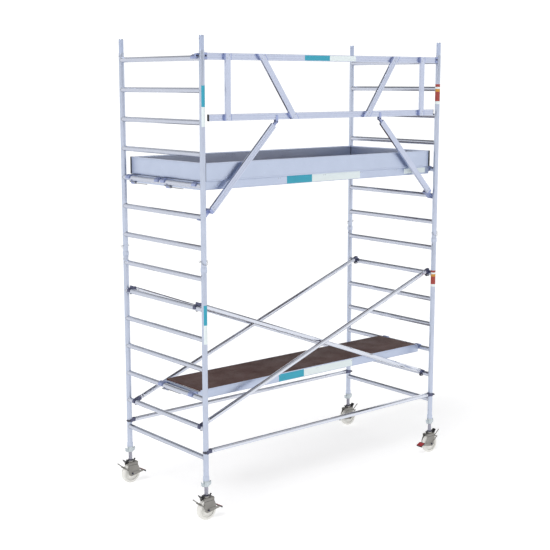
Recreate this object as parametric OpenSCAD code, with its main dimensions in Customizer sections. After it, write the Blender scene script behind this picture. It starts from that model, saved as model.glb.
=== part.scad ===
// Mobile aluminium tower scaffold in millimetres. Two end frames are stacked at each end and
// carry one lower and two upper platforms. The origin is on the floor under the middle, +X runs
// along the platforms, the guardrail is on the -Y side and +Z is up.

/* [Tower] */
// Distance between the post centres along the platforms
bay_length = 3050; // [2400:10:3700]
// Distance between the post centres across the tower
bay_width = 1299; // [1050:1:1600]
// Length of a castor's spindle that shows below the nut
leg_exposed = 84; // [70:1:260]

/* [End frames] */
// Outside diameter of a post
post_d = 51; // [46:1:62]
// Wall thickness of a post
post_wall = 2.5; // [2:0.1:4]
// Outside diameter of a rung
rung_d = 49; // [38:1:56]
// Wall thickness of a rung
rung_wall = 2; // [1.5:0.1:3]
// Distance between rung centres
rung_pitch = 280; // [230:1:340]
// Rungs in one end frame
rungs_per_frame = 7; // [6:1:8]
// Height of a frame's first rung above the frame's foot
first_rung = 215; // [180:1:270]
// Thickness of the collar around a post's foot
collar_t = 4.5; // [3:0.5:10]
// Height of that collar
collar_h = 50; // [35:1:70]
// Length of a spigot that stands out of a post's top
spigot_out = 130; // [118:1:160]
// Length of a spigot inside the post
spigot_in = 110; // [60:1:180]
// Height of the locking hole above a post's foot
lock_hole_z = 100; // [80:1:110]
// Diameter of the locking clip's pin
lock_pin_d = 8; // [6:0.5:10]

/* [Braces] */
// Outside diameter of a brace tube
brace_d = 45; // [38:1:50]
// Wall thickness of a brace tube
brace_wall = 2; // [1.5:0.1:3]
// Thickness of a claw's jaw
claw_t = 6; // [5:0.5:10]
// Width of a claw along the tube that it grips
claw_w = 34; // [24:1:40]
// Distance from a post's axis to the nearer diagonal
diagonal_inset = 70; // [66:1:80]
// Distance between two crossing diagonals
diagonal_gap = 52; // [51:1:60]

/* [Platforms] */
// Gap between the two upper platforms
platform_gap = 29; // [10:1:60]
// Distance from the post line to an upper platform's side
platform_inset = 69; // [60:1:90]
// Distance from the near post line to the lower platform's side
lower_inset = 164; // [150:1:300]
// Distance from a rung's centre to a platform's end
platform_end = 37; // [36:1:60]
// Height of a deck above the centre of the rung that carries it
deck_rise = 40; // [36:1:60]
// Thickness of a deck board
deck_t = 10; // [8:1:15]
// Depth of a platform's side beam below the rung's centre
beam_drop = 45; // [30:1:80]
// Width of a side beam
beam_w = 28; // [20:1:45]
// Width of a platform hook
hook_w = 60; // [40:1:80]
// Size of the hatch along the platform
hatch_length = 600; // [500:10:700]
// Height of a toe board
toe_board_h = 165; // [150:1:200]
// Thickness of a toe board
toe_board_t = 22; // [18:1:24]

/* [Guardrail] */
// Height of the rectangular profile
rail_h = 60; // [50:1:70]
// Depth of the rectangular profile
rail_w = 25; // [20:1:28]
// Distance between the two rails' centres
rail_spacing = 535; // [470:1:600]
// Distance from the post line to an upright's centre
upright_inset = 268; // [200:1:320]
// Distance from the post line to a leg's pivot
leg_pivot_inset = 850; // [700:1:1000]

/* [Castors] */
// Wheel diameter
wheel_d = 200; // [160:1:240]
// Wheel width
wheel_w = 50; // [40:1:60]
// Outside diameter of the threaded spindle
spindle_d = 38; // [30:1:40]
// Wall thickness of the spindle
spindle_wall = 4; // [3:0.5:5]
// Length of the spindle
spindle_length = 600; // [450:10:700]
// Height of the wing nut
nut_h = 55; // [40:1:70]
// Diameter of the axle bolt
axle_d = 12; // [10:1:16]

/* [Hidden] */
$fn = 48;
// Gap left between welded or bolted pieces, so that each stays a solid of its own
joint_gap = 0.2;
// Gap between surfaces that slide past each other, and radial gap of a running fit
slide_gap = 0.3;
running_gap = 0.05;
over = 1;

post_r = post_d / 2;
post_bore_r = post_r - post_wall;
rung_r = rung_d / 2;
brace_r = brace_d / 2;
spigot_r = post_bore_r - 0.5;
spigot_fit_r = post_bore_r - joint_gap;
// The wider half ends this far above the post that holds it
spigot_step = 2;
pin_hole_r = lock_pin_d / 2 + running_gap;
half_l = bay_length / 2;
half_w = bay_width / 2;
frame_h = rungs_per_frame * rung_pitch;

// Castor heights, from the floor up
wheel_r = wheel_d / 2;
crown_t = 6;
crown_z = wheel_d + 12;
bearing_h = 12;
head_h = 12;
spindle_z = crown_z + crown_t + bearing_h + slide_gap + head_h;
nut_z = spindle_z + leg_exposed;
foot_z = nut_z + nut_h + slide_gap;

// Rung numbers count from the lowest rung of the tower
top_rung = 2 * rungs_per_frame - 1;
lower_deck_rung = 2;
upper_deck_rung = top_rung - 4;
guardrail_leg_rung = upper_deck_rung - 1;
brace_low_rung = 1;
brace_high_rung = 5;
function rung_z(n) = foot_z + first_rung + n * rung_pitch;

// Corner names, with the signs of X and Y
CORNERS = [["near_left", -1, -1], ["near_right", 1, -1], ["far_left", -1, 1], ["far_right", 1, 1]];
// Diagonals: name, distance from the middle plane, sign of X at the low end
NEAR_RISING = ["near_rising_brace", -half_w + diagonal_inset, -1];
NEAR_FALLING = ["near_falling_brace", -half_w + diagonal_inset + diagonal_gap, 1];
FAR_RISING = ["far_rising_brace", half_w - diagonal_inset - diagonal_gap, -1];
FAR_FALLING = ["far_falling_brace", half_w - diagonal_inset, 1];
DIAGONALS = [NEAR_RISING, NEAR_FALLING, FAR_RISING, FAR_FALLING];
HORIZONTALS = [["near_horizontal_brace", -half_w], ["far_horizontal_brace", half_w]];
// Platforms: name, lowest Y, rung number, whether it has the hatch
platform_w = (bay_width - 2 * platform_inset - platform_gap) / 2;
PLATFORMS = [
    ["lower", -half_w + lower_inset, lower_deck_rung, false],
    ["near", -half_w + platform_inset, upper_deck_rung, true],
    ["far", platform_gap / 2, upper_deck_rung, false]
];

// ---- Shared shapes ----

// A rectangular tube along X, from the origin outwards in +X, centred on Y and Z
module box_tube(length, depth, height, wall) {
    rotate([90, 0, 90]) linear_extrude(height = length) difference() {
        square([depth, height], center = true);
        square([depth - 2 * wall, height - 2 * wall], center = true);
    }
}

// Runs an XZ outline along Y, from y = low to y = low + width
module along_y(low, width) {
    translate([0, low + width, 0]) rotate([90, 0, 0]) linear_extrude(height = width) children();
}

module at_post(c) {
    translate([c[1] * half_l, c[2] * half_w, 0]) children();
}

// The near left corner's piece, mirrored to the other corners
module at_mirrored_post(c) {
    at_post(c) mirror([c[1] > 0 ? 1 : 0, 0, 0]) mirror([0, c[2] > 0 ? 1 : 0, 0]) children();
}

// Castors are turned, not mirrored, so that each brake pedal points inwards
module at_castor(c) {
    at_post(c) rotate([0, 0, c[1] > 0 ? 180 : 0]) children();
}

// ---- End frames ----

// A post, with its foot's collar and locking hole, standing on z = 0
module post() {
    collar_r = post_r + collar_t;
    difference() {
        rotate_extrude() polygon([
            [post_bore_r, 0], [collar_r - 2, 0], [collar_r, 3], [collar_r, collar_h - 12],
            [post_r, collar_h], [post_r, frame_h], [post_bore_r, frame_h]
        ]);
        translate([0, 0, lock_hole_z]) rotate([0, 90, 0])
            cylinder(h = 4 * post_d, r = pin_hole_r, center = true);
    }
}

// A rung along Y, its ends cut to sit against the round posts
module rung() {
    difference() {
        rotate([90, 0, 0]) difference() {
            cylinder(h = bay_width, r = rung_r, center = true);
            cylinder(h = bay_width + 2 * over, r = rung_r - rung_wall, center = true);
        }
        for (side = [-1, 1]) translate([0, side * half_w, 0])
            cylinder(h = 2 * rung_d, r = post_r + joint_gap, center = true);
    }
}

module end_frame(side, tier) {
    color([0.76, 0.80, 0.86]) translate([side * half_l, 0, foot_z + tier * frame_h]) {
        for (y = [-half_w, half_w]) translate([0, y, 0]) post();
        for (k = [0 : rungs_per_frame - 1]) translate([0, 0, first_rung + k * rung_pitch]) rung();
    }
}

// The half that is riveted into the lower post is a little wider than the half that stands out
module spigot() {
    bore_r = spigot_r - 3;
    difference() {
        rotate_extrude() polygon([
            [bore_r, -spigot_in], [spigot_fit_r, -spigot_in], [spigot_fit_r, spigot_step], [spigot_r, spigot_step],
            [spigot_r, spigot_out - 6], [spigot_r - 3, spigot_out], [bore_r, spigot_out]
        ]);
        translate([0, 0, lock_hole_z]) rotate([0, 90, 0])
            cylinder(h = 2 * post_d, r = pin_hole_r, center = true);
    }
}

module frame_spigots() {
    color([0.70, 0.74, 0.80]) for (c = CORNERS, tier = [1, 2])
        at_post(c) translate([0, 0, foot_z + tier * frame_h]) spigot();
}

// Button-headed rivets that hold each spigot in the post below it
module spigot_rivets() {
    rivet_drop = 30;
    color([0.35, 0.36, 0.42]) for (c = CORNERS, tier = [1, 2], side = [-1, 1])
        at_post(c) translate([side * (post_r + joint_gap), 0, foot_z + tier * frame_h - rivet_drop])
            rotate([0, side * 90, 0]) cylinder(h = 2.5, r1 = 5, r2 = 3.5);
}

// A pin through the post and the spigot, with a wire bail around the front and a finger ring
module lock_clip() {
    wire_r = 2;
    bail_r = post_r + wire_r + 5.5;
    bail_side = 13;
    ring_r = 9;
    pin_start = -bail_r - 3;
    color([0.55, 0.57, 0.60]) {
        translate([pin_start, 0, 0]) rotate([0, 90, 0])
            cylinder(h = 2 * bail_r + 12, r = lock_pin_d / 2);
        translate([pin_start - ring_r, 0, 0]) rotate([90, 0, 0])
            rotate_extrude() translate([ring_r, 0]) circle(r = wire_r, $fn = 24);
        rotate([45, 0, 0]) {
            for (side = [-1, 1]) translate([side * bail_r, 0, 0]) rotate([90, 0, 0])
                cylinder(h = bail_side, r = wire_r, $fn = 24);
            translate([0, -bail_side, 0]) rotate([0, 0, 180])
                rotate_extrude(angle = 180) translate([bail_r, 0]) circle(r = wire_r, $fn = 24);
        }
    }
}

// ---- Braces ----

// A claw meets its tube this far from the gripped tube's centre, inwards and upwards
claw_in = 30;
claw_up = 25;
claw_neck = 26;
plug_length = 55;
neck_h = brace_d - 8;
// A jaw's tips reach this far past the held tube's centre
jaw_mouth = 8;
function jaw_r(held_r) = held_r + slide_gap + claw_t;
function diagonal_angle() = atan2((brace_high_rung - brace_low_rung) * rung_pitch,
    bay_length - 2 * claw_in);

module brace_tube(length) {
    rotate([0, 90, 0]) difference() {
        cylinder(h = length, r = brace_r);
        translate([0, 0, -over]) cylinder(h = length + 2 * over, r = brace_r - brace_wall);
    }
}

// From the low end's rung to the high end's, along +X before it is turned
module diagonal_brace(d) {
    span = norm([bay_length - 2 * claw_in, (brace_high_rung - brace_low_rung) * rung_pitch]);
    color([0.93, 0.94, 0.97]) translate([d[2] * (half_l - claw_in), d[1], rung_z(brace_low_rung) + claw_up])
        mirror([d[2] > 0 ? 1 : 0, 0, 0]) rotate([0, -diagonal_angle(), 0])
            translate([claw_neck + joint_gap, 0, 0]) brace_tube(span - 2 * claw_neck - 2 * joint_gap);
}

horizontal_rise = 60;
module horizontal_brace(h) {
    start = half_l - jaw_r(post_r) - claw_neck - joint_gap;
    color([0.93, 0.94, 0.97]) translate([-start, h[1], rung_z(0) + horizontal_rise])
        brace_tube(2 * start);
}

// The plug that fits in a tube's end, along +X
module claw_plug() {
    translate([claw_neck - over, 0, 0]) rotate([0, 90, 0])
        cylinder(h = plug_length, r = brace_r - brace_wall - joint_gap);
}

// A jaw around a rung along Y at the origin, and a neck towards the tube at `angle`
module rung_claw(angle) {
    along_y(-claw_w / 2, claw_w) difference() {
        union() {
            circle(r = jaw_r(rung_r));
            translate([claw_in, claw_up]) rotate(angle) translate([-claw_in, -neck_h / 2])
                square([claw_in + claw_neck, neck_h]);
        }
        circle(r = rung_r + slide_gap);
        translate([-2 * post_d, -2 * post_d - jaw_mouth]) square([4 * post_d, 2 * post_d]);
    }
    translate([claw_in, 0, claw_up]) rotate([0, -angle, 0]) claw_plug();
}

// Places its children at one end of a diagonal, with +X pointing into the bay
module at_diagonal_end(d, high) {
    side = high ? -d[2] : d[2];
    translate([side * half_l, d[1], rung_z(high ? brace_high_rung : brace_low_rung)])
        mirror([side > 0 ? 1 : 0, 0, 0]) children();
}

// Places its children at one end of a horizontal brace, with +X pointing into the bay
module at_horizontal_end(h, side) {
    translate([side * half_l, h[1], rung_z(0) + horizontal_rise])
        mirror([side > 0 ? 1 : 0, 0, 0]) children();
}

module brace_claws() {
    color([0.33, 0.35, 0.42]) {
        for (d = DIAGONALS, high = [false, true]) at_diagonal_end(d, high)
            rung_claw(high ? -diagonal_angle() : diagonal_angle());
        for (h = HORIZONTALS, side = [-1, 1]) at_horizontal_end(h, side) post_claw();
    }
}

// The same casting turned to grip an upright post from inside the bay
module post_claw() {
    translate([0, 0, -claw_w / 2]) linear_extrude(height = claw_w) difference() {
        union() {
            circle(r = jaw_r(post_r));
            translate([0, -neck_h / 2]) square([jaw_r(post_r) + claw_neck, neck_h]);
        }
        circle(r = post_r + slide_gap);
        translate([-jaw_mouth - 2 * post_d, -post_d]) square([2 * post_d, 2 * post_d]);
    }
    translate([jaw_r(post_r), 0, 0]) claw_plug();
}

// A sprung tongue that closes each jaw's mouth
module brace_latches() {
    width = 16;
    color([0.55, 0.57, 0.62]) {
        for (d = DIAGONALS, high = [false, true]) at_diagonal_end(d, high)
            along_y(-width / 2, width) latch_outline(rung_r + 2);
        for (h = HORIZONTALS, side = [-1, 1]) at_horizontal_end(h, side)
            translate([0, 0, -width / 2]) linear_extrude(height = width)
                rotate(-90) latch_outline(post_r + 2);
    }
}

// An L across the bottom of a mouth, whose inside corner is `reach` from the held tube's centre
module latch_outline(reach) {
    tongue_t = 6;
    root = -jaw_mouth - joint_gap;
    polygon([
        [-4, -reach], [reach, -reach], [reach, root], [reach + tongue_t, root],
        [reach + tongue_t, -reach - tongue_t], [-4, -reach - tongue_t]
    ]);
}

// ---- Platforms ----

platform_half = half_l - platform_end;
lip_t = 3;
beam_top = deck_rise - deck_t - joint_gap;
beam_h = beam_top + beam_drop;
end_beam_w = 30;
cross_w = 40;
cross_h = 25;
cross_count = 5;
hatch_clear = 2;
hatch_width = platform_w - 2 * beam_w - 60;
// The hatch's opening starts this far from the platform's left end
hatch_start = -platform_half + 300;
hatch_end = hatch_start + hatch_length;
hatch_low_y = beam_w + 40;
hinge_rise = 7;

module at_platform(p) {
    translate([0, p[1], rung_z(p[2])]) children();
}

// Crossbars share the length evenly, but two of them move to carry the hatch's ends
function crossbar_x(p, k) = let (even = -platform_half + (k + 1) * 2 * platform_half / (cross_count + 1))
    !p[3] || k > 1 ? even : (k == 0 ? hatch_start - cross_w / 2 + 10 : hatch_end + cross_w / 2 - 10);

module side_beam() {
    translate([-platform_half, 0, 0]) rotate([90, 0, 90]) linear_extrude(height = 2 * platform_half)
        difference() {
            union() {
                translate([0, -beam_drop]) square([beam_w, beam_h]);
                translate([0, -beam_drop]) square([lip_t, deck_rise + beam_drop]);
            }
            translate([lip_t, lip_t - beam_drop]) square([beam_w - 2 * lip_t, beam_h - 2 * lip_t]);
        }
}

// The side beams' lips are cut away where the end toe boards stand
module lip_cuts() {
    length = toe_face + toe_board_t + 2 - platform_end;
    for (side = [-1, 1]) translate([side * (platform_half - length / 2), platform_w / 2, deck_rise])
        cube([length + 2 * over, platform_w + 2 * over, 2 * (deck_rise - beam_top)], center = true);
}

module platform_frame(p) {
    inner_w = platform_w - 2 * beam_w - 2 * joint_gap;
    color([0.78, 0.82, 0.88]) at_platform(p) {
        difference() {
            union() {
                side_beam();
                translate([0, platform_w, 0]) mirror([0, 1, 0]) side_beam();
            }
            lip_cuts();
        }
        for (side = [-1, 1])
            translate([side * (platform_half - end_beam_w / 2), beam_w + joint_gap, (beam_top - beam_drop) / 2])
                rotate([0, 0, 90]) box_tube(inner_w, end_beam_w, beam_h, 2.5);
        for (k = [0 : cross_count - 1])
            translate([crossbar_x(p, k), beam_w + joint_gap, beam_top - cross_h / 2])
                rotate([0, 0, 90]) box_tube(inner_w, cross_w, cross_h, 2.5);
    }
}

module platform_deck(p) {
    end_x = platform_half - end_beam_w;
    edge = lip_t + joint_gap;
    color([0.35, 0.25, 0.23]) at_platform(p) difference() {
        translate([-end_x, edge, beam_top + joint_gap])
            cube([2 * end_x, platform_w - 2 * edge, deck_t]);
        if (p[3]) translate([hatch_start - hatch_clear, hatch_low_y - hatch_clear, beam_top])
            cube([hatch_length + 2 * hatch_clear, hatch_width + 2 * hatch_clear, 2 * deck_t]);
    }
}

hinge_reach = 10;
hinge_y = hatch_low_y - hinge_reach;
knuckle_r = 6;
hinge_pin_r = 3;
knuckle_w = 40;
HINGE_X = [hatch_start + 100, hatch_end - 100];
module at_hatch_hinges() {
    for (x = HINGE_X) translate([x, hinge_y, deck_rise + hinge_rise]) children();
}

// The hatch's board and its two hinge straps with their barrels
module hatch() {
    strap_t = 3;
    color([0.40, 0.29, 0.26]) at_platform(PLATFORMS[1]) {
        translate([hatch_start, hatch_low_y, beam_top + joint_gap + slide_gap])
            cube([hatch_length, hatch_width, deck_t - slide_gap]);
        at_hatch_hinges() difference() {
            union() {
                rotate([0, 90, 0]) cylinder(h = knuckle_w, r = knuckle_r, center = true);
                translate([-knuckle_w / 2, hinge_reach, -hinge_rise]) cube([knuckle_w, 80, strap_t]);
                translate([-knuckle_w / 2, 0, -hinge_rise + slide_gap])
                    cube([knuckle_w, hinge_reach + 5, strap_t - slide_gap]);
                translate([-knuckle_w / 2, 0, -hinge_rise + slide_gap]) cube([knuckle_w, 4, hinge_rise]);
            }
            rotate([0, 90, 0])
                cylinder(h = 2 * knuckle_w, r = hinge_pin_r + running_gap, center = true);
        }
    }
}

// The deck's halves of the two hinges: a barrel each side of the hatch's, with the pin
module hatch_hinges() {
    side_w = 20;
    color([0.6, 0.62, 0.66]) at_platform(PLATFORMS[1]) at_hatch_hinges() {
        rotate([0, 90, 0]) cylinder(h = knuckle_w + 2 * side_w, r = hinge_pin_r, center = true);
        for (side = [-1, 1])
            translate([side * (knuckle_w / 2 + slide_gap + side_w / 2), 0, 0]) {
                rotate([0, 90, 0]) cylinder(h = side_w, r = knuckle_r, center = true);
                translate([-side_w / 2, -32, -hinge_rise + joint_gap]) cube([side_w, 34, 3]);
                translate([-side_w / 2, -4, -hinge_rise + joint_gap]) cube([side_w, 6, hinge_rise]);
            }
    }
}

hook_t = 9;
hook_mouth = 6;
// The wind lock's bar lies under the end beam, inside the rung
wind_x = 46;
wind_z = -beam_drop - 8;
wind_bar_r = 4;
wind_bar_length = 230;

// A hook over a rung along Y at the origin, reaching in to the platform's end at +X
module hook_outline() {
    difference() {
        union() {
            circle(r = rung_r + slide_gap + hook_t);
            translate([0, -22]) square([platform_end - joint_gap, beam_top + 18]);
        }
        circle(r = rung_r + slide_gap);
        translate([-2 * post_d, -2 * post_d - hook_mouth])
            square([2 * post_d + rung_r, 2 * post_d]);
    }
}

// The lug under the hook at the far left corner, which carries the wind lock's bar
module wind_lug() {
    difference() {
        polygon([
            [rung_r + 1.5, -20], [platform_end - joint_gap, -20],
            [platform_end - joint_gap, -beam_drop - joint_gap], [wind_x + 9, -beam_drop - joint_gap],
            [wind_x + 9, wind_z - 9], [wind_x - 9, wind_z - 9], [rung_r + 1.5, wind_z + 8]
        ]);
        translate([wind_x, wind_z]) circle(r = wind_bar_r + running_gap);
    }
}

module platform_hooks() {
    edge = 6;
    color([0.62, 0.66, 0.78]) for (p = PLATFORMS, side = [-1, 1])
        at_platform(p) translate([side * half_l, 0, 0]) mirror([side > 0 ? 1 : 0, 0, 0])
            for (y = [edge, platform_w - edge - hook_w]) {
                along_y(y, hook_w) hook_outline();
                if (side < 0 && y > edge) along_y(y, hook_w) wind_lug();
            }
}

// A bar that turns in the lug, with a finger that reaches out under the rung
module wind_lock(p) {
    edge = 6;
    lug_low = platform_w - edge - hook_w;
    color([0.72, 0.75, 0.80]) at_platform(p) translate([-half_l, 0, 0]) {
        translate([wind_x, platform_w - edge + 4, wind_z]) rotate([90, 0, 0])
            cylinder(h = hook_w + 4 + wind_bar_length - hook_w / 2, r = wind_bar_r);
        along_y(lug_low - slide_gap - 14, 14) polygon([
            [wind_x + 5, wind_z - 5], [wind_x + 4, wind_z + 6], [platform_end - 4, wind_z + 6],
            [22, -rung_r - 6],
            [-16, -rung_r - 4], [-24, -rung_r + 2], [-28, -rung_r - 4],
            [-20, -rung_r - 13], [18, -rung_r - 15], [wind_x - 8, wind_z - 6]
        ]);
    }
}

// ---- Toe boards ----

toe_face = platform_inset - 24;
toe_low = 34;
corner_side = toe_board_t + 2;
// Toe boards stand on the line of the upper platforms' edges, between the corner pieces
module long_toe_board(side) {
    length = bay_length - 2 * toe_face - 2 * corner_side;
    y = side * (half_w - toe_face - toe_board_t / 2);
    color([0.77, 0.81, 0.87])
        translate([-length / 2, y, rung_z(upper_deck_rung) + toe_low + toe_board_h / 2])
            box_tube(length, toe_board_t, toe_board_h, 2);
}

module end_toe_board(side) {
    length = bay_width - 2 * toe_face - 2 * corner_side;
    x = side * (half_l - toe_face - toe_board_t / 2);
    color([0.77, 0.81, 0.87])
        translate([x, -length / 2, rung_z(upper_deck_rung) + toe_low + toe_board_h / 2])
            rotate([0, 0, 90]) box_tube(length, toe_board_t, toe_board_h, 2);
}

module toe_board_corners() {
    side = corner_side - joint_gap;
    color([0.10, 0.10, 0.13]) for (c = CORNERS) at_mirrored_post(c)
        translate([toe_face, toe_face, rung_z(upper_deck_rung) + toe_low])
            linear_extrude(height = toe_board_h) difference() {
                translate([3, 3]) union() {
                    circle(r = 3);
                    translate([0, -3]) square([side - 3, side]);
                    translate([-3, 0]) square([side, side - 3]);
                }
                translate([8, 8]) square([side - 11, side - 11]);
            }
}

// ---- Guardrail ----

top_rail_z = rung_z(top_rung) + 15;
low_rail_z = top_rail_z - rail_spacing;
rail_y = -half_w - 8;
lapped_y = rail_y - joint_gap - rail_w;
low_rail_end = half_l - 70;
rail_wall = 2;
// A diagonal's centre line leaves the top rail and meets the low rail at these insets
diagonal_top_inset = 666;
diagonal_low_inset = 1040;

module rail(end_x, z) {
    translate([-end_x, rail_y + rail_w / 2, z]) box_tube(2 * end_x, rail_w, rail_h, rail_wall);
}

// A leaning bar's outline, cut level at both ends: its middle, its run and its half width along X
module slanted_bar(middle, run, half, low, high) {
    polygon([
        [middle + run / 2 - half, high], [middle + run / 2 + half, high],
        [middle - run / 2 + half, low], [middle - run / 2 - half, low]
    ]);
}

module guardrail_frame() {
    upright_w = 55;
    low_edge = low_rail_z - rail_h / 2;
    high_edge = top_rail_z + rail_h / 2;
    run = (diagonal_low_inset - diagonal_top_inset) * (high_edge - low_edge) / rail_spacing;
    middle = half_l - (diagonal_top_inset + diagonal_low_inset) / 2;
    slant = norm([run, high_edge - low_edge]) / (high_edge - low_edge);
    half_slant = rail_h / 2 * slant;
    slant_wall = rail_wall * slant;
    color([0.75, 0.79, 0.88]) {
        rail(half_l - 36, top_rail_z);
        rail(low_rail_end, low_rail_z);
        for (side = [-1, 1]) {
            translate([side * (half_l - upright_inset), lapped_y + rail_w / 2, low_edge])
                rotate([0, -90, 0]) box_tube(high_edge - low_edge, rail_w, upright_w, rail_wall);
            difference() {
                along_y(lapped_y, rail_w)
                    slanted_bar(side * middle, side * run, half_slant, low_edge, high_edge);
                along_y(lapped_y + rail_wall, rail_w - 2 * rail_wall)
                    slanted_bar(side * middle, side * run * (1 + 2 * over / (high_edge - low_edge)),
                        half_slant - slant_wall, low_edge - over, high_edge + over);
            }
            pivot_bracket(side);
        }
    }
}

pivot_drop = 50;
pivot_r = 5;
tongue_r = 14;
// Two cheeks under the low rail, with the pin that a leg hangs from
module pivot_bracket(side) {
    cheek_t = 3;
    translate([side * (half_l - leg_pivot_inset), 0, low_rail_z]) {
        for (y = [rail_y - slide_gap - cheek_t, rail_y + rail_w + slide_gap])
            along_y(y, cheek_t) union() {
                translate([0, -pivot_drop]) circle(r = tongue_r);
                translate([-tongue_r, -pivot_drop]) square([2 * tongue_r, pivot_drop + 12]);
            }
        along_y(rail_y - slide_gap - cheek_t - 3, rail_w + 2 * slide_gap + 2 * cheek_t + 6)
            translate([0, -pivot_drop]) circle(r = pivot_r);
    }
}

// Plates behind the posts that carry the top rail on the top rung, with their bolts
module guardrail_hooks() {
    plate_y = -half_w + post_r + 3;
    plate_t = 16;
    color([0.62, 0.66, 0.80]) for (side = [-1, 1])
        translate([side * half_l, 0, rung_z(top_rung)]) mirror([side > 0 ? 1 : 0, 0, 0]) {
            along_y(plate_y, plate_t) difference() {
                translate([-45, -hook_mouth]) square([105, hook_mouth + 39]);
                circle(r = rung_r + slide_gap);
            }
            along_y(plate_y + plate_t - over, 80) difference() {
                circle(r = rung_r + slide_gap + hook_t);
                circle(r = rung_r + slide_gap);
                translate([-post_d, -2 * post_d - hook_mouth]) square([2 * post_d, 2 * post_d]);
            }
            translate([post_r + 12, rail_y + rail_w + joint_gap, -9])
                cube([22, plate_y - rail_y - rail_w, 48]);
            translate([-38, plate_y + over, 16]) rotate([90, 0, 0]) cylinder(h = 8, r = 7, $fn = 6);
        }
}

module guardrail_end_plugs() {
    color([0.08, 0.08, 0.10]) for (side = [-1, 1])
        translate([side * (low_rail_end + joint_gap), rail_y, low_rail_z - rail_h / 2])
            mirror([side < 0 ? 1 : 0, 0, 0]) cube([5, rail_w, rail_h]);
}

// A leg runs from its pivot down to a point beside the rung that its claw bears on
leg_foot_inset = 100;
leg_foot_rise = 58;
leg_run = leg_pivot_inset - leg_foot_inset;
leg_drop = low_rail_z - pivot_drop - rung_z(guardrail_leg_rung) - leg_foot_rise;
leg_length = norm([leg_run, leg_drop]);
leg_angle = atan2(leg_drop, leg_run);
leg_start = 45;
// The rung's centre, along the leg from its pivot and square to it
rung_along = cos(leg_angle) * leg_pivot_inset + sin(leg_angle) * (leg_drop + leg_foot_rise);
rung_across = cos(leg_angle) * (leg_drop + leg_foot_rise) - sin(leg_angle) * leg_pivot_inset;

module guardrail_leg(side) {
    jaw = rung_r + slide_gap + 8;
    post_clear = 32;
    color([0.76, 0.79, 0.86])
        translate([side * (half_l - leg_pivot_inset), 0, low_rail_z - pivot_drop])
            mirror([side > 0 ? 1 : 0, 0, 0]) rotate([0, 180 - leg_angle, 0]) {
                translate([leg_start, rail_y + rail_w / 2, 0])
                    box_tube(leg_length - leg_start, rail_w, rail_h, rail_wall);
                along_y(rail_y + rail_wall + joint_gap, rail_w - 2 * rail_wall - 2 * joint_gap) difference() {
                    union() {
                        circle(r = tongue_r - 1);
                        translate([0, 1 - tongue_r]) square([leg_start + 60, 2 * tongue_r - 2]);
                    }
                    circle(r = pivot_r + running_gap);
                }
                // The claw: an arm from the leg's end, and a half ring behind the post
                along_y(rail_y + joint_gap, post_clear + 48 - rail_y - half_w) difference() {
                    translate([leg_length + joint_gap, -26]) square([26, 52]);
                    translate([rung_along, rung_across]) circle(r = jaw + over);
                }
                along_y(-half_w + post_clear, 40) difference() {
                    union() {
                        translate([rung_along, rung_across]) circle(r = jaw);
                        translate([leg_length + 10, -26]) square([rung_along - leg_length - 10, 40]);
                    }
                    translate([rung_along, rung_across]) circle(r = rung_r + slide_gap);
                    translate([rung_along - 2 * jaw, rung_across - 2 * jaw]) square([4 * jaw, 2 * jaw]);
                }
            }
}

// ---- Castors and adjustable legs ----

kingpin_r = 8;
head_r = 31;
// A tubular threaded spindle on its bearing head, with the kingpin below
module spindle() {
    r = spindle_d / 2;
    color([0.62, 0.62, 0.68]) {
        translate([0, 0, spindle_z]) difference() {
            cylinder(h = spindle_length, r = r);
            translate([0, 0, 10]) cylinder(h = spindle_length, r = r - spindle_wall);
        }
        translate([0, 0, spindle_z - head_h]) cylinder(h = head_h, r = head_r);
        translate([0, 0, crown_z - 7]) cylinder(h = spindle_z - crown_z, r = kingpin_r);
    }
}

// A nut with two wings, which bears on the post's foot
module leg_nut() {
    body_r = spindle_d / 2 + 9;
    color([0.82, 0.85, 0.88]) translate([0, 0, nut_z]) difference() {
        union() {
            cylinder(h = nut_h, r = body_r);
            translate([0, 0, nut_h - 12]) cylinder(h = 12, r = post_r + collar_t);
            for (side = [-1, 1]) translate([side * body_r, 0, 0]) along_y(-7, 14)
                polygon([[-side * 6, 2], [side * 12, 0], [side * 27, 14], [side * 29, 44],
                    [side * 19, 46], [side * 10, 34], [-side * 6, 34]]);
        }
        translate([0, 0, -over]) cylinder(h = nut_h + 2 * over, r = spindle_d / 2 + running_gap);
    }
}

hub_half = wheel_w / 2 + 4;
plate_y = hub_half + 1.5;
plate_t = 4;
axle_r = axle_d / 2;
// Forked housing with its bearing cup, axle bolt and the spring plate of the brake
module fork() {
    axle_end = plate_y + plate_t + 5;
    color([0.57, 0.57, 0.55]) {
        translate([0, 0, crown_z]) difference() {
            union() {
                translate([-48, -plate_y - plate_t, 0]) cube([116, 2 * (plate_y + plate_t), crown_t]);
                translate([0, 0, crown_t]) cylinder(h = bearing_h, r = head_r - 3);
            }
            translate([0, 0, -over])
                cylinder(h = crown_t + bearing_h + 2 * over, r = kingpin_r + running_gap);
        }
        for (y = [-plate_y - plate_t, plate_y]) along_y(y, plate_t) difference() {
            translate([0, wheel_r]) polygon([
                [-48, crown_z - wheel_r - joint_gap], [68, crown_z - wheel_r - joint_gap],
                [66, 88], [88, 40], [86, -8], [60, -14], [-14, -28], [-40, -10]
            ]);
            translate([0, wheel_r]) circle(r = axle_r + joint_gap);
        }
        translate([0, 0, wheel_r]) rotate([90, 0, 0]) {
            cylinder(h = 2 * axle_end, r = axle_r, center = true);
            for (z = [-axle_end - 7, axle_end]) translate([0, 0, z]) cylinder(h = 7, r = axle_r + 4, $fn = 6);
        }
        // Toothed spring plates that stand over the crown's two ends
        along_y(-24, 48) polygon([
            [-48 - joint_gap, crown_z - 6], [-66, crown_z + 8], [-82, crown_z + 38], [-78, crown_z + 40],
            [-60, crown_z + 18], [-48 - joint_gap, crown_z + 4]
        ]);
    }
}

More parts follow.
